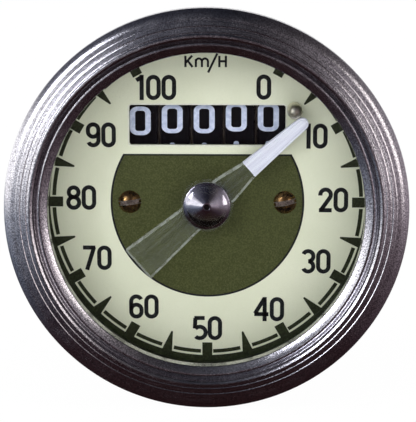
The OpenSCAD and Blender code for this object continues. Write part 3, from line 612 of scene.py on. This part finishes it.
def draw_figure(bm, strokes, width, fit, parts=1):
    """Draws a figure's strokes at unit size, then lays them in place with a matrix."""
    before = set(bm.verts)
    for x, y, heading, moves in strokes:
        pen = Pen(bm, x, y, heading, width, 0)
        for move in moves:
            if move == "end":
                pen.line(0.2, 0.85).line(0.16, 0.5)
            elif isinstance(move, tuple):
                pen.arc(*move)
            else:
                pen.line(move, parts=parts)
    drawn = [v for v in bm.verts if v not in before]
    bmesh.ops.transform(bm, matrix=fit, verts=drawn)
    return drawn


def cut(bm, place, normal, **dropped):
    """Cuts a mesh at a plane, and drops its inner or outer side if that is asked for."""
    bmesh.ops.bisect_plane(
        bm, geom=bm.verts[:] + bm.edges[:] + bm.faces[:], plane_co=place, plane_no=normal, **dropped
    )


def face_out(bm, outward):
    """Merges a print's doubles, and turns each face the way that outward gives for its place."""
    bmesh.ops.remove_doubles(bm, verts=bm.verts, dist=1e-4)
    for face in bm.faces:
        face.normal_update()
    wrong = [f for f in bm.faces if f.normal.dot(outward(f.calc_center_median())) < 0]
    bmesh.ops.reverse_faces(bm, faces=wrong)


def on_dial(radius, degrees):
    """Place on the dial, clockwise from twelve o'clock."""
    turn = math.radians(degrees)
    return radius * math.sin(turn), radius * math.cos(turn)


# Operators, one for each piece or group


class SPEEDO_OT_bezel(bpy.types.Operator):
    """Chrome bezel: round shoulder, stepped ridges, valley and inner lip"""

    bl_idname = "speedo.bezel"
    bl_label = "Bezel"

    def execute(self, context):
        given = context.scene.speedo_bezel
        top, outer, view, rise = BEZEL_TOP, BEZEL_R, given.opening, given.step_height
        # The lip's outer radius, the wall between it and the steps, and the treads' fall outwards
        lip = view + 2.1
        band = lip + 0.2
        fall, s_width, s_points = 0.15, 0.34, 8
        level = top - given.steps * rise
        edge = outer - given.shoulder
        step = (edge - band) / given.steps
        profile = arc_points(edge - 0.1, level - 1.72, given.shoulder + 0.1, 1.7, 0, 84, 18)
        for i in range(given.steps):
            # Each step rises in an S, and its tread falls away outwards
            r = edge - step * i
            last = i == given.steps - 1
            climb = rise if last else rise - fall
            for k in range(s_points + 1):
                share = k / s_points
                up = climb * (1 - math.cos(math.pi * share)) / 2
                profile.append((r - s_width * share, level + up))
            level += rise
            if not last:
                # A rolled groove before the next step: its outer side mirrors what the inner cones do
                end = r - step
                profile += [
                    (end + 0.18, level), (end + 0.155, level - 0.01), (end + 0.07, level - 0.058),
                    (end + 0.03, level - 0.04), (end + 0.01, level),
                ]
        # Cone of 29 degrees inside the steps, wide enough to glint, and the wall down to the valley
        profile += [
            (band + 0.36, level), (band + 0.32, level - 0.02), (band + 0.06, level - 0.16),
            (band, level - 0.26), (band - 0.02, top - 1.2), (band - 0.06, top - 1.5),
            (lip + 0.05, top - 1.55),
        ]
        profile += arc_points(lip - 0.75, top - 1.7, 0.7, 0.7, 15, 112, 12)
        # Lip's inner edge, seat of the glass, and the underside that is rolled over the case
        profile += [
            (view + 0.24, top - 1.42), (view + 0.1, top - 1.52), (view + 0.02, top - 1.68), (view, top - 2.2),
            (view, GLASS_TOP), (view + 1, GLASS_TOP), (lip - 0.1, top - 2.5), (band, top - 2.6),
            (outer - 2.2, top - 1.6), (outer - 1.4, top - 1.7), (outer - 0.6, top - 2.6), (outer - 0.6, 0.6),
            (outer - 2, 0.6), (outer - 2, 0),
        ]
        profile += arc_points(outer - 0.5, 0.5, 0.5, 0.5, -90, 0, 6)
        bm = bmesh.new()
        lathe(bm, profile, 256)
        new_piece("bezel_ring", bm, [chrome_plate(given.wear)], "housing", ["bezel"], 24)
        return {"FINISHED"}


class SPEEDO_OT_glass(bpy.types.Operator):
    """Glass, rubber ring and the green ring over the dial"""

    bl_idname = "speedo.glass"
    bl_label = "Glass and rings"

    def execute(self, context):
        dress(plate_glass(), "glass")
        dress(moulded("moulded black rubber", "#141414", "#202020", 0.7), "glass_gasket")
        dress(ring_paint("#262B1E", "#363C2A"), "spacer_ring")
        return {"FINISHED"}


class SPEEDO_OT_dial(bpy.types.Operator):
    """Dial print: cream ground, scale, numbers, units and green centre"""

    bl_idname = "speedo.dial"
    bl_label = "Dial"

    def execute(self, context):
        given = context.scene.speedo_dial
        dress(dial_enamel(given.cream), "dial")
        self.outer_ring(given)
        self.green_centre(given)
        self.numbers(given)
        self.units(given)
        self.window_edge()
        return {"FINISHED"}

    def outer_ring(self, given):
        """Green ring with blocks, spikes and dashes, as one print."""
        # Radii of the ring's middle, the marks' outer ends and the dashes, and the degrees that a dash
        # keeps clear of the marks before and after it
        ring, mark, dash, before, after = 27.35, 26.6, 25.72, 2.4, 2.2
        level = DIAL_TOP + PRINT_LIFT
        bm = bmesh.new()
        Pen(bm, ring, 0, 90, 1.9, level).arc(ring, 360, 180)
        for speed in range(0, 101, 5):
            degrees = self.angle_of(speed)
            block = speed % 10 == 0
            x, y = on_dial(mark, degrees)
            pen = Pen(bm, x, y, -90 - degrees, 1.7 if block else 1.8, level + 0.003)
            if block:
                pen.line(2.4)
            else:
                pen.line(3.5, 0.17).line(0.08, 0.5)
            if speed < 100:
                gap = self.angle_of(speed + 5) - degrees
                x, y = on_dial(dash, degrees + before)
                Pen(bm, x, y, -degrees - before, 0.64, level + 0.001).arc(dash, before + after - gap, 8)
        ink = green_ink("screen-printed dark green", given.ring_green, "#39402A")
        self.lay("dial_outer_print", bm, ink)

    def lay(self, name, bm, ink):
        """Turns a print to the front and makes it a piece on the dial."""
        face_out(bm, lambda place: Vector((0, 0, 1)))
        new_piece(name, bm, [ink], "housing")

    def angle_of(self, speed):
        """Where a speed stands on the scale, in degrees; its ends are spread a little."""
        share = (speed - 50) / 50
        return 180 + 150 * share + 1.5 * share**7

    def green_centre(self, given):
        """Round green field with a straight top edge, a thin black line round it."""
        level, hole = DIAL_TOP + PRINT_LIFT, 1.9
        olive = green_ink("screen-printed olive green", given.green, "#545A32")
        for name, wider, higher, ink, lift in (
            ("dial_centre_edge", 0.33, 0.28, black_ink(given.ink), 0),
            ("dial_centre_green", 0, 0, olive, 0.006),
        ):
            bm = bmesh.new()
            radius = given.centre_radius + wider
            middle = (radius + hole) / 2
            Pen(bm, middle, 0, 90, radius - hole, level + lift).arc(middle, 360, 180)
            bmesh.ops.remove_doubles(bm, verts=bm.verts, dist=1e-4)
            cut(bm, (0, given.centre_top + higher, 0), (0, 1, 0), clear_outer=True)
            self.lay(name, bm, ink)

    def numbers(self, given):
        """The scale's numbers, upright, from 0 to 100."""
        # Half of a figure's width, the distance between two, and how far a one stands to its right
        half, pitch, one_shift = 0.875, 2.56, 0.35
        bm = bmesh.new()
        # Each number with the place of its middle
        for text, x, y in (
            ("0", 9.35, 19.35), ("10", 17.5, 11.2), ("20", 21.05, 0.45), ("30", 18.25, -10.05),
            ("40", 10.5, -18.35), ("50", 0.0, -21.7), ("60", -10.75, -18.0), ("70", -18.65, -9.6),
            ("80", -21.15, 0.7), ("90", -17.75, 11.3), ("100", -8.95, 19.25),
        ):
            for i, figure in enumerate(text):
                at = x + (i - (len(text) - 1) / 2) * pitch + (one_shift if figure == "1" else 0)
                fit = Matrix.Translation((at, y - 2 * half, DIAL_TOP + PRINT_LIFT)) @ Matrix.Scale(half, 4)
                draw_figure(bm, FIGURES[figure], given.number_width / half, fit)
        self.lay("dial_numbers", bm, black_ink(given.ink))

    def units(self, given):
        """The units over the counter: Km/H."""
        bm = bmesh.new()
        width, level, foot = 0.37, DIAL_TOP + PRINT_LIFT, 22.64
        tall, low = 1.88, 1.34
        # Strokes of the K, the m, the slash and the H, as in the figures
        for x, y, heading, moves in (
            (-3.62, foot, 90, [tall]), (-3.55, foot + 0.75, 48, [1.55]), (-3.2, foot + 1.0, -53, [1.25]),
            (-1.9, foot, 90, [low]), (-1.9, foot + 0.9, 90, [0.02, (0.5, -180), 0.92]),
            (-0.9, foot + 0.9, 90, [0.02, (0.5, -180), 0.92]),
            (0.12, foot - 0.9, 64.5, [3.5]),
            (1.98, foot, 90, [tall]), (3.06, foot, 90, [tall]), (1.98, foot + 0.98, 0, [1.08]),
        ):
            pen = Pen(bm, x, y, heading, width, level)
            for move in moves:
                pen.arc(*move) if isinstance(move, tuple) else pen.line(move)
        self.lay("dial_units", bm, black_ink(given.ink))

    def window_edge(self):
        """Thin pale edge round the counter's window, where the print stops short of the cut."""
        half_w, y, half_h, corner, out = 13.0, 13.0, 3.35, 0.4, 0.12
        bm = bmesh.new()
        pen = Pen(bm, half_w + out, y - half_h + corner, 90, 2 * out, DIAL_TOP + PRINT_LIFT)
        for _ in range(2):
            pen.line(2 * (half_h - corner)).arc(corner + out, 90)
            pen.line(2 * (half_w - corner)).arc(corner + out, 90)
        self.lay("dial_window_edge", bm, moulded("cut edge of the dial", "#E6E8DA", "#D9DCCB", 0.5))


class SPEEDO_OT_drums(bpy.types.Operator):
    """Number drums with their figures, and the plates between them"""

    bl_idname = "speedo.drums"
    bl_label = "Number drums"

    def execute(self, context):
        dress(drum_black(), *[f"drum_{i}" for i in range(1, 6)])
        dress(brown_laminate(), "carrier_plates")
        # Degrees by which each drum is turned up from where its nought faces straight ahead
        rest = {1: 6.6, 2: 6.5, 3: 4.7, 4: 4.7, 5: 2.7}
        nought = oval(0.74)
        one = [(0.0, -0.4, 90, [4.4, "end"]), (0.05, 3.3, 212, [1.0])]
        fit = Matrix.Diagonal((1.3, 1.03, 1, 1)) @ Matrix.Translation((0, -2, 0))
        for index in range(1, 6):
            low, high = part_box(f"drum_{index}")
            # The figures are printed a little left of the drum's middle
            column = (low.x + high.x) / 2 / MM - 0.7 + 0.05 * index
            bm = bmesh.new()
            for value in range(10):
                strokes = {0: nought, 1: one}.get(value, FIGURES[str(value)])
                turn = math.radians(rest[index] - 36 * value)
                for v in draw_figure(bm, strokes, 0.7, fit, parts=4):
                    angle = turn + v.co.y / DRUM_R
                    round_axis = Vector((math.sin(angle), math.cos(angle))) * (DRUM_R + PRINT_LIFT)
                    v.co = (column + v.co.x, *(Vector(DRUM_AXIS) + round_axis))
            face_out(bm, lambda place: place - Vector((place.x, *DRUM_AXIS)))
            body = f"drum_body_{index}"
            new_piece(f"drum_{index}_figures", bm, [number_white()], body)
        return {"FINISHED"}


class SPEEDO_OT_pointer(bpy.types.Operator):
    """Clear pointer with its white half, and the bright hub cap"""

    bl_idname = "speedo.pointer"
    bl_label = "Pointer"

    def execute(self, context):
        white_from = context.scene.speedo_pointer.white_from
        white = pointer_white(context.scene.speedo_pointer.white)
        body = [clear_acrylic(), acrylic_edge(), white]
        self.blade("pointer_body", body, -15.3, 0, ["pointer"])
        self.blade("pointer_paint", [white], white_from, 0.12, [])
        self.cap()
        return {"FINISHED"}

    def blade(self, name, materials, start, inset, replaced):
        """The blade from that distance behind or before the axis to its tip, inset all round."""
        tip, reach, neck, corner = 1.05, 20.75, 9.2, 0.3
        # Half widths of the blade at distances from the axis
        widths = ((start, 3.25), (-CAP_R, 2.45), (CAP_R, 2.45), (neck, 1.6))
        bm = bmesh.new()
        low, high = POINTER_BOTTOM + inset * 0.4, POINTER_TOP - inset
        if start < 0:
            rim = [(corner - widths[0][1], start), (-widths[0][1], start + corner)]
            rim += [(-half, y) for y, half in widths[1:]]
        else:
            rim = [(inset - widths[-1][1], start)]
        rim += [(x, reach + z) for x, z in arc_points(0, 0, tip - inset, tip - inset, 176, 90, 7)]
        verts = [bm.verts.new((x, y, low)) for x, y in rim]
        bm.verts.ensure_lookup_table()
        edges = [bm.edges.new(p) for p in zip(verts, verts[1:])]
        bmesh.ops.mirror(bm, geom=verts + edges, matrix=Matrix.Identity(4), merge_dist=1e-4, axis="X")
        bmesh.ops.remove_doubles(bm, verts=bm.verts, dist=1e-4)
        bmesh.ops.contextual_create(bm, geom=bm.edges[:])
        out = bmesh.ops.extrude_face_region(bm, geom=bm.faces[:])["geom"]
        raised = [g for g in out if isinstance(g, bmesh.types.BMVert)]
        bmesh.ops.translate(bm, verts=raised, vec=(0, 0, high - low))
        bmesh.ops.recalc_face_normals(bm, faces=bm.faces)
        if start < 0:
            top_rim = [e for e in bm.edges if all(v.co.z > high - 0.01 for v in e.verts)]
            bmesh.ops.bevel(
                bm, geom=top_rim, offset=0.42, segments=1, profile=0.5, affect="EDGES", material=-1,
                clamp_overlap=True,
            )
            bm.normal_update()
            # The paint runs over the front half's edges
            # Side and bevelled faces of the clear half take the painted glow of the lit edges, and those of
            # the front half take the white paint
            for face in bm.faces:
                painted = face.calc_center_median().y > neck
                face.material_index = 0 if abs(face.normal.z) > 0.95 else 2 if painted else 1
        bmesh.ops.transform(bm, matrix=Matrix.Rotation(-REST_ANGLE, 4, "Z"), verts=bm.verts)
        new_piece(name, bm, materials, "needle", replaced, 30)

    def cap(self):
        """Spun cap: low cone, rounded foot, and the hole over the spindle."""
        foot, top, r = POINTER_TOP, CAP_TOP, CAP_R
        bore, bore_end, drop, rings, round_r = 0.45, top - 0.47, 1.08, 10, 0.42
        brow = bore + 0.12
        # The profile closes the hole with a floor just above the spindle's end; that floor carries the
        # painted shade of the deep bore
        profile = [
            (0.0, bore_end), (bore, bore_end), (bore, top - 0.08), (bore + 0.04, top - 0.02), (brow, top),
        ]
        # The cone falls 20 degrees, a little less by the bore
        for k in range(1, rings + 1):
            share = k / rings
            fall = drop * (0.75 * share + 0.25 * share**2)
            profile.append((brow + (r - round_r - brow) * share, top - fall))
        profile += arc_points(r - round_r, top - 1.46, round_r, 0.38, 80, -40, 10)
        profile += [(r - 0.6, foot), (0.0, foot)]
        bm = bmesh.new()
        lathe(bm, profile, 96, closed=False)
        # The bore's wall and floor take the nearly black painted shade, and the rest is polished chrome
        for face in bm.faces:
            place = face.calc_center_median()
            face.material_index = 1 if place.xy.length < bore + 0.01 and place.z < top - 0.05 else 0
        finishes = [polished_chrome(), hole_grime()]
        new_piece("hub_cap_spun", bm, finishes, "needle", ["hub_cap"], 40)
        bm = bmesh.new()
        rim, bottom, level = r + 0.34, foot - 0.9, foot - 0.02
        lathe(bm, [(rim, bottom), (rim, foot - 0.2), (rim - 0.15, level), (0.6, level), (0.6, bottom)], 96)
        new_piece("pointer_hub_disc", bm, [clear_acrylic()], "needle")


class SPEEDO_OT_dial_fixings(bpy.types.Operator):
    """Dial screws and stop pin"""

    bl_idname = "speedo.dial_fixings"
    bl_label = "Dial screws and stop pin"

    def execute(self, context):
        dress(bright_nickel(), "stop_pin")
        self.screws()
        return {"FINISHED"}

    def screws(self):
        """Domed bronze screws; each head is two halves beside its slot, and a floor between them."""
        top, foot = height_of("dial_screws"), height_of("dial_screws", front=False)
        head_r, shank_r, slot_half, brink, floor = 1.95, 1.0, 0.25, 0.16, DIAL_TOP + 0.42
        rise = top - DIAL_TOP
        # The dome is the top of a ball
        ball = (head_r**2 + rise**2) / (2 * rise)
        middle = top - ball
        start = math.degrees(math.asin((DIAL_TOP - middle) / ball))
        slot_end = math.degrees(math.asin((floor - middle) / ball))
        core = arc_points(0, middle, ball - 0.02, ball - 0.02, slot_end, start, 4)
        core = [(0, floor), *core, (shank_r, DIAL_TOP), (shank_r, foot), (0, foot)]
        dome = [(head_r, DIAL_TOP), *arc_points(0, middle, ball, ball, start, 90, 10), (0, DIAL_TOP)]
        bm = bmesh.new()
        for side, slant in ((-1, 7), (1, 11)):
            before = set(bm.verts)
            lathe(bm, core, 48, closed=False)
            for face in bm.faces:
                # The slot's floor takes the pale finish: bare bronze with a painted highlight
                if all(floor - 0.03 < v.co.z < floor + 0.01 for v in face.verts):
                    face.material_index = 1
            for half in (-1, 1):
                held = self.half_dome(dome, half, slot_half, brink, floor)
                bm.from_mesh(held)
                bpy.data.meshes.remove(held)
            fit = Matrix.Translation((side * (reach_of("dial_screws") - head_r), 0, 0))
            fit = fit @ Matrix.Rotation(math.radians(slant), 4, "Z")
            bmesh.ops.transform(bm, matrix=fit, verts=[v for v in bm.verts if v not in before])
        finishes = [aged_bronze(), worn_bronze()]
        new_piece("dial_screw_heads", bm, finishes, "housing", ["dial_screws"], 30)

    def half_dome(self, dome, half, slot_half, brink, floor):
        """The part of a head on one side of its slot, with the brink worn down."""
        bm = bmesh.new()
        lathe(bm, dome, 64, closed=False)
        for y in (slot_half + brink, slot_half):
            cut(bm, (0, half * y, 0), (0, half, 0), clear_inner=(y == slot_half))
        bmesh.ops.holes_fill(bm, edges=[e for e in bm.edges if e.is_boundary])
        for vert in bm.verts:
            if abs(vert.co.y) < slot_half + 0.001 and vert.co.z > floor:
                vert.co.z -= brink / 2
        # The brink's faces take the pale finish: bare bronze with a painted highlight
        for face in bm.faces:
            if all(abs(v.co.y) < slot_half + brink + 0.001 for v in face.verts):
                face.material_index = 1
        bmesh.ops.recalc_face_normals(bm, faces=bm.faces)
        return mesh_of("held", bm)


class SPEEDO_OT_case(bpy.types.Operator):
    """Case, cable neck, bracket with its studs and nuts, and lamp holder"""

    bl_idname = "speedo.case"
    bl_label = "Case and fixings"

    def execute(self, context):
        zinc = sheet_metal("zinc-plated sheet steel", "#AEACA2", "#BDBCB3", 0.33, 0.41)
        plated = turned_metal("zinc-plated turned steel", "#A8A69C", "#CBCAC2", 0.25, 0.22, 0.42)
        dress(case_enamel(), "case_shell")
        dress(zinc, "clamp_bracket", "bracket_washers")
        dress(plated, "case_screws", "bracket_nuts")
        dress(cast_metal(), "main_frame")
        dress(turned_metal("nickel-plated brass", "#B8AE94", "#D6CFBC", 0.3, 0.2, 0.36), "lamp_holder")
        dress(moulded("blown bulb glass", "#F4EBD2", "#FFF8E6", 0.12), "lamp_bulb")
        self.neck()
        self.studs(plated)
        return {"FINISHED"}

    def neck(self):
        """Threaded neck with its groove, chamfer and bore."""
        end, seat = NECK_END, NECK_END + 12
        root, relief = NECK_R - 0.55, NECK_R - 0.6
        bore, ferrule, depth, turns, pitch = 3.05, 4.3, 1.6, 7.6, 1.0
        bm = bmesh.new()
        lathe(bm, [
            (bore, seat), (relief, seat), (relief, end + 9), (root, end + 8.8), (root, end + 0.5),
            (NECK_R - 1.0, end), (ferrule, end), (ferrule, end + depth), (bore, end + depth),
        ], 96)
        helix(bm, root - 0.05, NECK_R, end + 8.55, turns, pitch, steps=48)
        brass = turned_metal("turned nickel-plated neck", "#ADA58E", "#CFC8B4", 0.3, 0.2, 0.38)
        new_piece("cable_neck_thread", bm, [brass], "housing", ["cable_neck"], 25)

    def studs(self, plated):
        """Both studs with their rolled threads."""
        head, end = height_of("bracket_studs"), height_of("bracket_studs", front=False)
        head_r, head_h, r, root, pitch = 3.5, 0.8, 2.5, 2.12, 0.8
        bm = bmesh.new()
        for side in (-1, 1):
            at = (side * (reach_of("bracket_studs") - head_r), 0)
            lathe(bm, [
                (0, head), (head_r, head), (head_r, head - head_h), (r, head - head_h), (r, CASE_BACK + 0.2),
                (root, CASE_BACK), (root, end + 0.4), (1.7, end), (0, end),
            ], 48, closed=False, at=at)
            turns = (CASE_BACK - end - 1.4) / pitch
            helix(bm, root - 0.04, r, CASE_BACK - 0.4, turns, pitch, at=at)
        new_piece("stud_threads", bm, [plated], "housing", ["bracket_studs"], 25)


class SPEEDO_OT_movement(bpy.types.Operator):
    """Finishes of the movement inside the case"""

    bl_idname = "speedo.movement"
    bl_label = "Movement"

    def execute(self, context):
        brass = turned_metal("turned brass", "#B08D4C", "#D2B274", 0.25, 0.2, 0.38)
        steel = turned_metal("ground steel", "#8C9096", "#B4B8BC", 0.2, 0.15, 0.32)
        dress(
            brass, "pointer_bush", "spring_collet", "bridge_bush", "cross_wheel", "upright_wheel",
            "top_bridge",
        )
        dress(
            steel, "pointer_spindle", "drive_spindle", "cross_shaft", "upright_shaft", "drum_shaft",
            "drum_washer",
        )
        dress(turned_metal("spun aluminium", "#C8CACC", "#DEE0E2", 0.4, 0.25, 0.4), "speed_cup")
        dress(turned_metal("blued spring steel", "#39465C", "#53617A", 0.2, 0.2, 0.3), "hairspring")
        dress(turned_metal("cast magnet alloy", "#5E6064", "#77797C", 0.8, 0.45, 0.65), "magnet")
        plate = sheet_metal("plated movement sheet", "#A3A39A", "#C0C0B8", 0.3, 0.48)
        dress(plate, "counter_frame", "regulator", "keeper_cup", "frame_pillars", "pillar_screws")
        nylon = moulded("moulded natural nylon", "#DAD3BE", "#E8E2D2", 0.45)
        dress(nylon, "drum_gear", *[f"carry_pinion_{i}" for i in range(1, 5)])
        return {"FINISHED"}


class SPEEDO_OT_studio(bpy.types.Operator):
    """Floor, the tent that the chrome mirrors, two soft lights and the camera"""

    bl_idname = "speedo.studio"
    bl_label = "Studio"

    def execute(self, context):
        scene = context.scene
        given = scene.speedo_studio
        scene.view_settings.view_transform = "Standard"
        self.world(scene, given)
        self.floor()
        self.tent()
        self.lamp("left_light", (-0.49, -0.45, 0.3), 0.28, 0.34, given.key, "#F6F8FF")
        self.lamp("right_light", (0.55, -0.45, 0.14), 0.3, 0.4, given.side, "#FFF8F2")
        self.camera(scene, given)
        return {"FINISHED"}

    def background_rays(self, tree):
        """One for rays of the camera, of mirrors and through glass, and nought for those that light."""
        path = add_node(tree, "LightPath").outputs
        seen = path["Is Camera Ray"]
        for other in ("Is Glossy Ray", "Is Transmission Ray"):
            seen = add_node(tree, "Math", {0: seen, 1: path[other]}, operation="MAXIMUM").outputs[0]
        return seen

    def world(self, scene, given):
        """Even pale light; what the camera and the metal see of it is white."""
        world = bpy.data.worlds.new("studio")
        tree = empty_tree(world)
        level = {"Value": self.background_rays(tree), "To Min": given.fill, "To Max": 1.0}
        strength = add_node(tree, "MapRange", level).outputs["Result"]
        light = add_node(tree, "Background", {"Color": (1, 1, 1, 1), "Strength": strength})
        add_node(tree, "OutputWorld", {"Surface": light.outputs["Background"]})
        scene.world = world

    def floor(self):
        """Pale floor under the object, white to the camera but for a faint shadow."""
        half_size, gap, whiteness = 2.0, 0.0002, 0.985
        made = bpy.data.materials.new("pale studio floor")
        tree = empty_tree(made)
        lift = add_node(tree, "Math", {0: self.background_rays(tree), 1: whiteness}, operation="MULTIPLY")
        paper = add_node(tree, "BsdfDiffuse", {"Color": (0.8, 0.8, 0.8, 1)})
        glow = add_node(tree, "Emission", {"Color": (1, 1, 1, 1), "Strength": 1.0})
        both = add_node(tree, "MixShader", {0: lift.outputs[0], 1: paper.outputs[0], 2: glow.outputs[0]})
        add_node(tree, "OutputMaterial", {"Surface": both.outputs[0]})
        bm = bmesh.new()
        level = Matrix.Translation((0, 0, CAD_LOW.z - gap))
        bmesh.ops.create_grid(bm, x_segments=1, y_segments=1, size=half_size, matrix=level)
        self.place_stage("floor", bm, made).visible_glossy = False

    def tent(self):
        """A round tent, open behind the object, which only reflections see.

        Its cloth is blue-grey above, maroon below and pale at the sides, and dark round its front.
        """
        radius, depth, strength = 0.9, 0.75, 1.6
        # The dark front ends and the sides begin at these parts of the radius
        dark_to, pale_from = 0.988, 0.955
        bm = bmesh.new()
        bmesh.ops.create_uvsphere(bm, u_segments=48, v_segments=24, radius=radius)
        cut(bm, (0, depth, 0), (0, 1, 0), clear_outer=True)
        made = bpy.data.materials.new("tent cloth")
        tree = empty_tree(made)
        place = add_node(tree, "TexCoord").outputs["Object"]
        place = add_node(tree, "SeparateXYZ", {"Vector": place}).outputs
        turn = add_node(tree, "Math", {0: place["X"], 1: place["Z"]}, operation="ARCTAN2").outputs["Value"]
        share = add_node(tree, "MapRange", {"Value": turn, "From Min": -math.pi, "From Max": math.pi})
        ramp = add_node(tree, "ValToRGB", {"Fac": share.outputs["Result"]})
        # Angles clockwise from twelve o'clock
        cloth = (
            (-180, "#1E1010"), (-136, "#261A1D"), (-114, "#4A505C"), (-100, "#8A909C"), (-96, "#FFFFFF"),
            (-79, "#FFFFFF"), (-62, "#5C5E68"), (-22, "#2C2D35"), (8, "#181A20"), (38, "#3A3638"),
            (74, "#8A8488"), (96, "#948A90"), (116, "#50454A"), (140, "#261A1D"), (180, "#1E1010"),
        )
        stops = ramp.color_ramp.elements
        for _ in range(len(cloth) - 2):
            stops.new(0.5)
        for stop, (degrees, code) in zip(stops, cloth):
            stop.position = (degrees + 180) / 360
            stop.color = colour(code)
        front = {"Value": place["Y"], "From Min": -dark_to * radius, "From Max": -pale_from * radius}
        side = add_node(tree, "MapRange", front, interpolation_type="SMOOTHSTEP").outputs["Result"]
        tone = {"Factor": side, "A": colour("#3C3134"), "B": ramp.outputs["Color"]}
        shade = add_node(tree, "Mix", tone, data_type="RGBA").outputs["Result"]
        glow = add_node(tree, "Emission", {"Color": shade, "Strength": strength})
        add_node(tree, "OutputMaterial", {"Surface": glow.outputs[0]})
        tent = self.place_stage("tent", bm, made)
        tent.visible_camera = tent.visible_diffuse = tent.visible_shadow = False
        tent.visible_transmission = tent.visible_volume_scatter = False

    def place_stage(self, name, bm, material):
        """Makes a stage object of a mesh."""
        made = new_object(name, mesh_of(name, bm))
        made.data.materials.append(material)
        return made

    def lamp(self, name, place, height, width, power, tone):
        """A soft light that points at the dial; its height lies towards the dial's axis."""
        light = bpy.data.lights.new(name, "AREA")
        light.shape, light.size, light.size_y = "RECTANGLE", height, width
        light.energy, light.color = power, colour(tone)[:3]
        made = new_object(name, light)
        back, ahead = Vector(place).normalized(), Vector((0, -1, 0))
        upward = (ahead - ahead.dot(back) * back).normalized()
        turn = Matrix((upward, back.cross(upward), back)).transposed()
        made.matrix_world = Matrix.Translation(place) @ turn.to_4x4()

    def camera(self, scene, given):
        """Camera at the photograph's angle: a little above the axis and to its right."""
        # Pixels of the picture's height, and those that the bezel fills at the given distance
        picture, filled = 422, 406.8
        aim = Vector((0, -3.2 * MM, 0))
        lens = bpy.data.cameras.new("camera")
        lens.sensor_width = 36
        lens.lens = lens.sensor_width * filled / picture / (2 * BEZEL_R * MM) * given.distance
        lens.shift_x, lens.shift_y = given.offset
        lens.clip_start, lens.clip_end = 0.01, 20
        made = new_object("camera", lens)
        e, a = given.elevation, given.azimuth
        back = Vector((math.sin(a) * math.cos(e), -math.cos(a) * math.cos(e), math.sin(e)))
        made.location = aim + back * given.distance
        made.rotation_mode = "QUATERNION"
        made.rotation_quaternion = (-back).to_track_quat("-Z", "Y")
        scene.camera = made


STEPS = (
    SPEEDO_OT_bezel, SPEEDO_OT_glass, SPEEDO_OT_dial, SPEEDO_OT_drums, SPEEDO_OT_pointer,
    SPEEDO_OT_dial_fixings, SPEEDO_OT_case, SPEEDO_OT_movement, SPEEDO_OT_studio,
)
GROUPS = {
    "speedo_bezel": BezelSettings, "speedo_dial": DialSettings, "speedo_pointer": PointerSettings,
    "speedo_studio": StudioSettings,
}


class SPEEDO_PT_panel(bpy.types.Panel):
    """Lists the steps that dress the speedometer"""

    bl_idname = "SPEEDO_PT_panel"
    bl_label = "Speedometer"
    bl_space_type = "VIEW_3D"
    bl_region_type = "UI"
    bl_category = "Speedometer"

    def draw(self, context):
        column = self.layout.column()
        for step in STEPS:
            column.operator(step.bl_idname)
        for group in GROUPS:
            settings = getattr(context.scene, group)
            box = self.layout.box()
            for name in settings.__annotations__:
                box.prop(settings, name)


def register():
    for made in (*GROUPS.values(), *STEPS, SPEEDO_PT_panel):
        bpy.utils.register_class(made)
    for name, group in GROUPS.items():
        setattr(bpy.types.Scene, name, PointerProperty(type=group))


def unregister():
    for name in GROUPS:
        delattr(bpy.types.Scene, name)
    for made in (SPEEDO_PT_panel, *reversed(STEPS), *reversed(GROUPS.values())):
        bpy.utils.unregister_class(made)


def main():
    """Dresses the whole object."""
    register()
    for step in STEPS:
        group, name = step.bl_idname.split(".")
        getattr(getattr(bpy.ops, group), name)()


if __name__ == "__main__":
    main()
